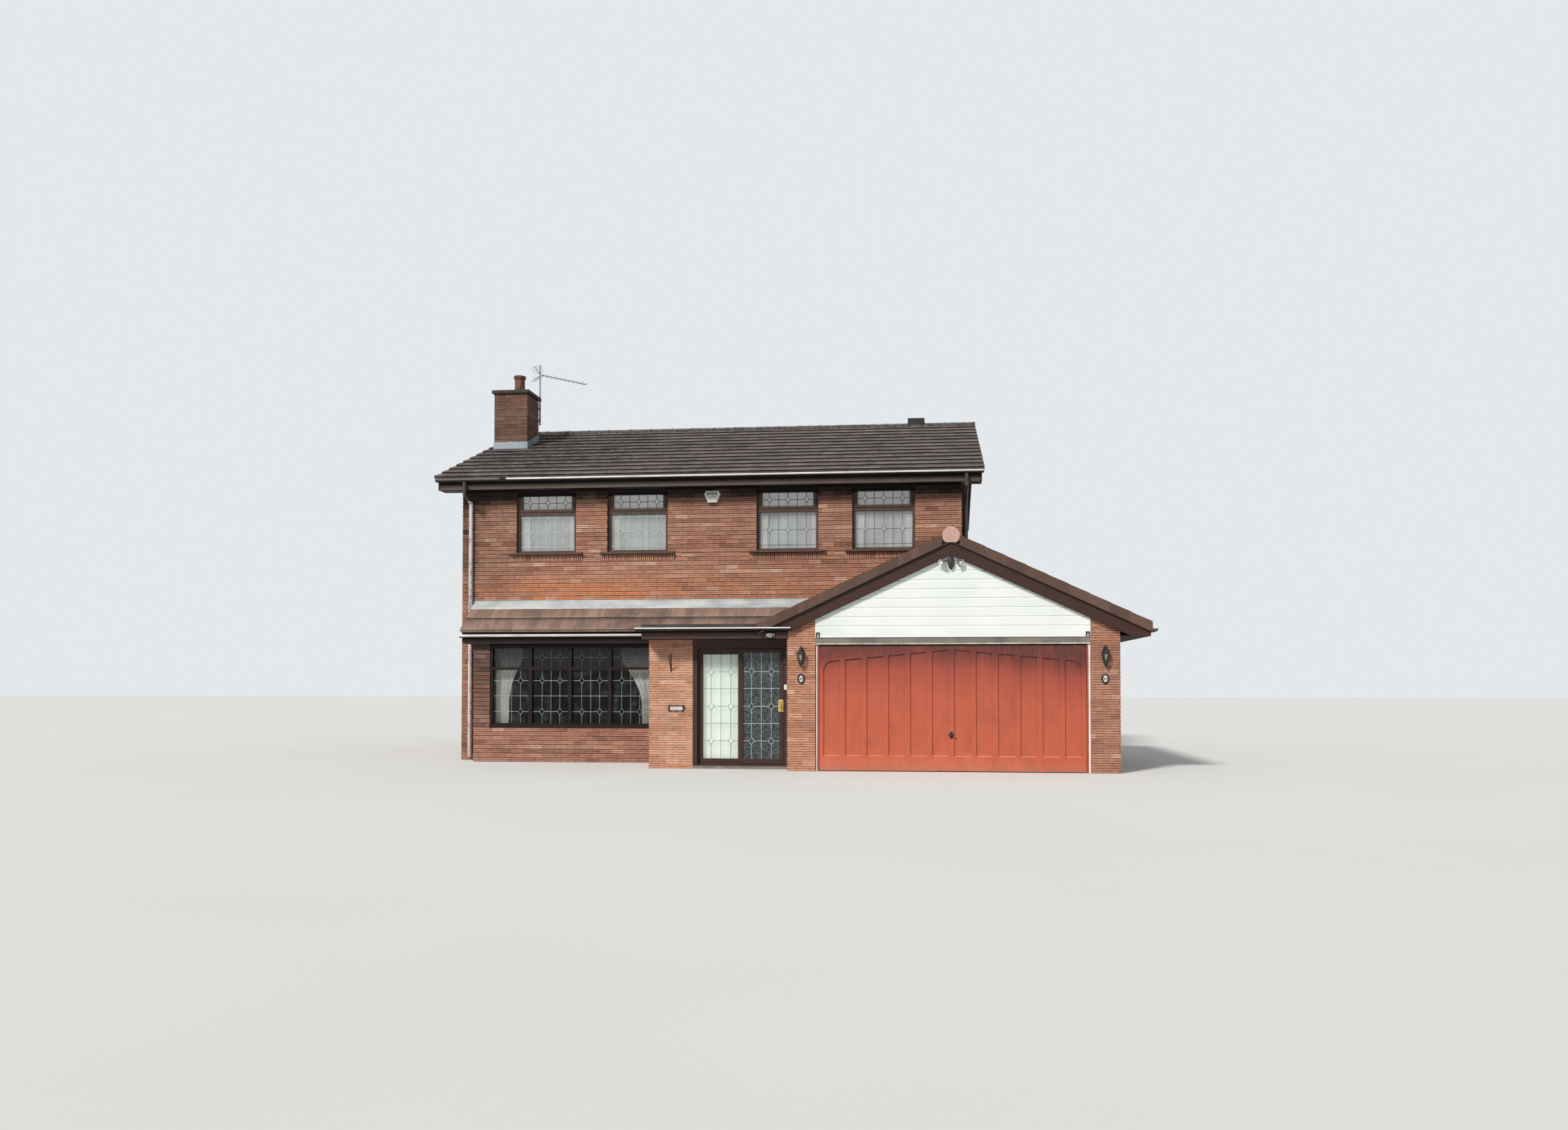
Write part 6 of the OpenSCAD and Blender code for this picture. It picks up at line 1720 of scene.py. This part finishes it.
def alarm_case(bm):
    """Tapered six-sided case with a slightly smaller front, so that its edges are sloped."""
    outline = [(0.082, -0.212), (0.144, -0.060), (0.112, 0.0), (-0.112, 0.0), (-0.144, -0.060),
               (-0.082, -0.212)]
    skin(bm, [[(ALARM_MID + x * share, -out, ALARM_TOP - 0.106 + (z + 0.106) * share)
               for x, z in outline]
              for share, out in ((1.0, 0.002), (1.0, 0.052), (0.92, 0.070))])


def alarm_slots(bm):
    """Sound slots in two groups, a seam below them, and the dark bracket under the case."""
    for x in (-0.088, -0.066, -0.036, -0.014, 0.008, 0.030, 0.058, 0.080):
        slab(bm, (ALARM_MID + x - 0.007, -0.0715, ALARM_TOP - 0.086),
             (ALARM_MID + x + 0.007, -0.068, ALARM_TOP - 0.026))
    slab(bm, (ALARM_MID - 0.072, -0.0715, ALARM_TOP - 0.118),
         (ALARM_MID + 0.072, -0.068, ALARM_TOP - 0.108))
    slab(bm, (ALARM_MID - 0.055, -0.045, ALARM_TOP - 0.235),
         (ALARM_MID + 0.055, -0.002, ALARM_TOP - 0.210))


piece("alarm_case", alarm_case, "house", WHITE_CASE, ["alarm_box"])
piece("alarm_slots", alarm_slots, "house", DARK_SLOT, ["alarm_box"])


def lantern_iron(bm):
    """Six-sided wall lantern: plate, scrolled arms, a cup, corner bars, a flared hood and a
    finial."""
    wall, z = PIERS_LOW.y, LAMP_Z
    y = wall - LAMP_OUT
    for x in LAMP_XS:
        lathe(bm, [(0.010, -0.165), (0.026, -0.150), (0.016, -0.135), (0.034, -0.118),
                   (0.040, -0.104), (0.044, -0.092)], 6, (x, y, z))
        lathe(bm, [(0.067, 0.040), (0.069, 0.046), (0.068, 0.056), (0.052, 0.074), (0.036, 0.090),
                   (0.018, 0.098), (0.014, 0.124), (0.022, 0.134), (0.016, 0.146), (0.006, 0.163)],
              6, (x, y, z))
        for c, s in circle(6):
            bar(bm, [(x + 0.041 * c, y + 0.041 * s, z - 0.100),
                     (x + 0.064 * c, y + 0.064 * s, z + 0.042)], 0.0055)
        extruded(bm, [(x - 0.030, z - 0.06), (x, z - 0.085), (x + 0.030, z - 0.06),
                      (x + 0.034, z + 0.11), (x, z + 0.145), (x - 0.034, z + 0.11)], wall - 0.014,
                 wall - 0.001)
        for side in (-1, 1):
            bar(bm, [(x, wall - 0.012, z + 0.118), (x + side * 0.022, wall - 0.03, z + 0.138),
                     (x + side * 0.030, wall - 0.05, z + 0.124), (x + side * 0.018, y, z + 0.108),
                     (x, y, z + 0.116)], 0.0045)
        bar(bm, [(x, wall - 0.01, z - 0.05), (x, wall - 0.03, z - 0.125), (x, y, z - 0.14)], 0.006)


def lantern_glass(bm):
    """The six tapered panes of each lantern."""
    for x in LAMP_XS:
        lathe(bm, [(0.040, -0.100), (0.062, 0.043)], 6, (x, PIERS_LOW.y - LAMP_OUT, LAMP_Z))


def lantern_lamps(bm):
    """The lamp inside each lantern."""
    for x in LAMP_XS:
        lathe(bm, [(0.010, -0.060), (0.014, -0.030), (0.025, -0.004), (0.028, 0.014),
                   (0.022, 0.030), (0.006, 0.038)], 16, (x, PIERS_LOW.y - LAMP_OUT, LAMP_Z))


piece("lantern_iron", lantern_iron, "house", IRON, ["wall_ironwork"])
piece("lantern_glass", lantern_glass, "house", LANTERN_GLASS)
piece("lantern_lamps", lantern_lamps, "house", WHITE_CASE)


FLOOD_Z = (FLOOD_LOW.z + FLOOD_HIGH.z) / 2


def floodlight_case(bm):
    """Upright oval case of the sensor floodlight, with a tilted neck to each head."""
    x, y, z = GARAGE_MID, CLADDING_LOW.y, FLOOD_Z
    medallion(bm, (x, y, z), 0.050, 0.105,
              [(0.9, 0.002), (1.0, 0.012), (1.0, 0.045), (0.86, 0.062), (0.5, 0.068)])
    for side in (-1, 1):
        bar(bm, [(x + side * 0.03, y - 0.035, z + 0.02), (x + side * 0.085, y - 0.05, z + 0.03),
                 (x + side * 0.118, y - 0.055, z + 0.012)], 0.010, 10)


def flood_heads(profile):
    """A turned form in each head of the floodlight, aimed outward and down."""
    def build(bm):
        for side in (-1, 1):
            aimed(bm, profile, (GARAGE_MID + side * 0.112, CLADDING_LOW.y - 0.050, FLOOD_Z + 0.014),
                  (side * 0.55, -0.70, -0.42))
    return build


for label, finish, profile in (
        ("floodlight_reflectors", REFLECTOR,
         [(0.018, -0.012), (0.026, -0.004), (0.030, 0.022), (0.048, 0.046), (0.060, 0.066),
          (0.063, 0.070), (0.058, 0.069), (0.040, 0.050), (0.020, 0.040)]),
        ("floodlight_lamps", WHITE_CASE,
         [(0.012, 0.040), (0.026, 0.050), (0.036, 0.064), (0.034, 0.076), (0.016, 0.086)])):
    piece(label, flood_heads(profile), "house", finish, ["floodlight"])
piece("floodlight_case", floodlight_case, "house", IRON, ["floodlight"])


def pointed(tip, shoulder, half):
    """Outline of the porch's plate, with a point at each end."""
    x, _, z = PLATE_AT
    return [(x - tip, z), (x - shoulder, z - half), (x + shoulder, z - half), (x + tip, z),
            (x + shoulder, z + half), (x - shoulder, z + half)]


def plaque_faces(bm):
    """Blank enamelled faces of the two oval plaques and the porch's plate."""
    for x in LAMP_XS:
        medallion(bm, (x, PIERS_LOW.y, PLAQUE_Z), 0.032, 0.051,
                  [(1.0, 0.010), (1.0, 0.0235), (0.9, 0.025), (0.4, 0.026)])
    extruded(bm, pointed(0.108, 0.094, 0.030), PLATE_AT[1] - 0.0135, PLATE_AT[1] - 0.004)


def plate_frames(bm):
    """Cast frames round the plaques and the plate: a rolled oval rim, and lobed corners with
    pointed ends."""
    for x in LAMP_XS:
        medallion(bm, (x, PIERS_LOW.y, PLAQUE_Z), 0.060, 0.0825,
                  [(0.97, 0.0), (1.0, 0.008), (0.97, 0.018), (0.86, 0.024), (0.72, 0.022),
                   (0.64, 0.014)])
        bar(bm, [(x + 0.012 * k, PIERS_LOW.y - 0.025, PLAQUE_Z + 0.004 * math.sin(1.4 * k))
                 for k in range(-2, 3)], 0.0075)
    x, y, z = PLATE_AT
    half = [(-0.150, 0.0), (-0.134, 0.010), (-0.128, 0.026), (-0.132, 0.044), (-0.116, 0.057),
            (-0.094, 0.053), (-0.055, 0.044), (-0.030, 0.047), (0.0, 0.058)]
    edge = half + [(-a, b) for a, b in reversed(half[:-1])]
    extruded(bm, [(x + a, z - b) for a, b in edge]
             + [(x + a, z + b) for a, b in reversed(edge[1:-1])], y - 0.009, y - 0.001)
    rim = pointed(0.118, 0.101, 0.037)
    bar(bm, [(a, y - 0.011, b) for a, b in rim + rim[:1]], 0.005, 8)


piece("plaque_faces", plaque_faces, "house", PLATE_ENAMEL)
piece("plate_frames", plate_frames, "house", IRON, ["wall_ironwork"])


def beam_lip(bm):
    """Worn lower edge of the beam over the garage door."""
    slab(bm, (CLADDING_LOW.x, PIERS_LOW.y - 0.012, 1.975),
         (CLADDING_HIGH.x, PIERS_LOW.y + 0.004, 1.996))


def board_shape(bm):
    """Shiplap board: a flat face with a scooped upper edge, as long as the gable is wide."""
    profile = [(0.0, 0.003), (-0.010, 0.003), (-0.012, 0.006), (-0.012, 0.120), (-0.005, 0.133),
               (-0.004, 0.146), (0.0, 0.146)]
    drawn(bm, profile, CLADDING_LOW.x, CLADDING_HIGH.x)


def foot_board(bm):
    """Plain board under the lowest shiplap board."""
    slab(bm, (CLADDING_LOW.x, CLADDING_LOW.y - 0.011, CLADDING_LOW.z + 0.001),
         (CLADDING_HIGH.x, CLADDING_LOW.y, CLADDING_LOW.z + 0.0365))


piece("beam_lip", beam_lip, "house", BEAM_LIP)
boards = grow("boards", REPEAT, {"Count": 12, "Step": (0.0, 0.0, 0.143), "Play": 0.0, "Seed": 1,
                                 "Unit": unit("board_unit", board_shape), "Finish": WHITE_BOARD})
boards.transform(Matrix.Translation((0, CLADDING_LOW.y + 0.001, CLADDING_LOW.z + 0.034)))
boards = joined(boards, mesh_of("foot_board", foot_board))
for direction, edge in ((-1, GARAGE_EDGE_LOW.x), (1, GARAGE_EDGE_HIGH.x)):
    cut(boards, (edge, 0, GARAGE_LOW_Z - 0.12),
        (direction * math.sin(GARAGE_PITCH), 0, math.cos(GARAGE_PITCH)))
piece("gable_boards", boards, "house")


# Floor, light and camera

ground_material, ground_tree, ground_shader, ground_place = blank("pale_studio_floor", 0.9)
surface(ground_tree, ground_shader,
        coats(ground_tree, "dadad7", ("d8d8d5", cloud(ground_tree, ground_place, 4.0))))
floor_mesh = mesh_of("studio_floor",
                     lambda bm: bmesh.ops.create_grid(bm, x_segments=1, y_segments=1, size=90))
floor = bpy.data.objects.new("studio_floor", floor_mesh)
floor_mesh.transform(Matrix.Translation((0, 0, -0.001)))
floor_mesh.materials.append(ground_material)
bpy.context.scene.collection.objects.link(floor)

world = bpy.data.worlds.new("soft_daylight")
world.use_nodes = True
bpy.context.scene.world = world
sky = world.node_tree
rays = add(sky, "ShaderNodeLightPath").outputs
seen = rays["Is Camera Ray"]
for ray in ("Is Transmission Ray", "Is Glossy Ray"):
    seen = add(sky, "ShaderNodeMath", {"operation": "MAXIMUM"}, {0: seen, 1: rays[ray]})
backdrop = add(sky, "ShaderNodeBackground", inputs={"Color": srgb("e4e8eb"), "Strength": 1.0})
fill = add(sky, "ShaderNodeBackground", inputs={"Color": srgb("e8edf2"), "Strength": 0.50})
shown = add(sky, "ShaderNodeMixShader", inputs={0: seen, 1: fill, 2: backdrop})
sky.links.new(shown.outputs["Shader"], sky.nodes["World Output"].inputs["Surface"])

sun_data = bpy.data.lights.new("soft_sun", "SUN")
sun_data.energy = 3.1
sun_data.angle = math.radians(9)
sun_data.color = srgb("fffcf6")[:3]
sun = bpy.data.objects.new("soft_sun", sun_data)
sun.rotation_euler = (math.radians(50), 0.0, math.radians(-32))
bpy.context.scene.collection.objects.link(sun)

camera_data = bpy.data.cameras.new("street_view")
camera_data.sensor_width = 36.0
camera_data.lens = 26.794
camera_data.shift_x = -0.01587
camera_data.shift_y = 0.05825
camera_data.clip_end = 300.0
camera = bpy.data.objects.new("street_view", camera_data)
camera.location = (3.885, -20.2135, 1.385)
camera.rotation_euler = (math.radians(91.278), 0.0, 0.1024)
bpy.context.scene.collection.objects.link(camera)
bpy.context.scene.camera = camera
bpy.context.scene.view_settings.view_transform = "Standard"

for made in units:
    spent = made.data
    bpy.data.objects.remove(made)
    bpy.data.meshes.remove(spent)
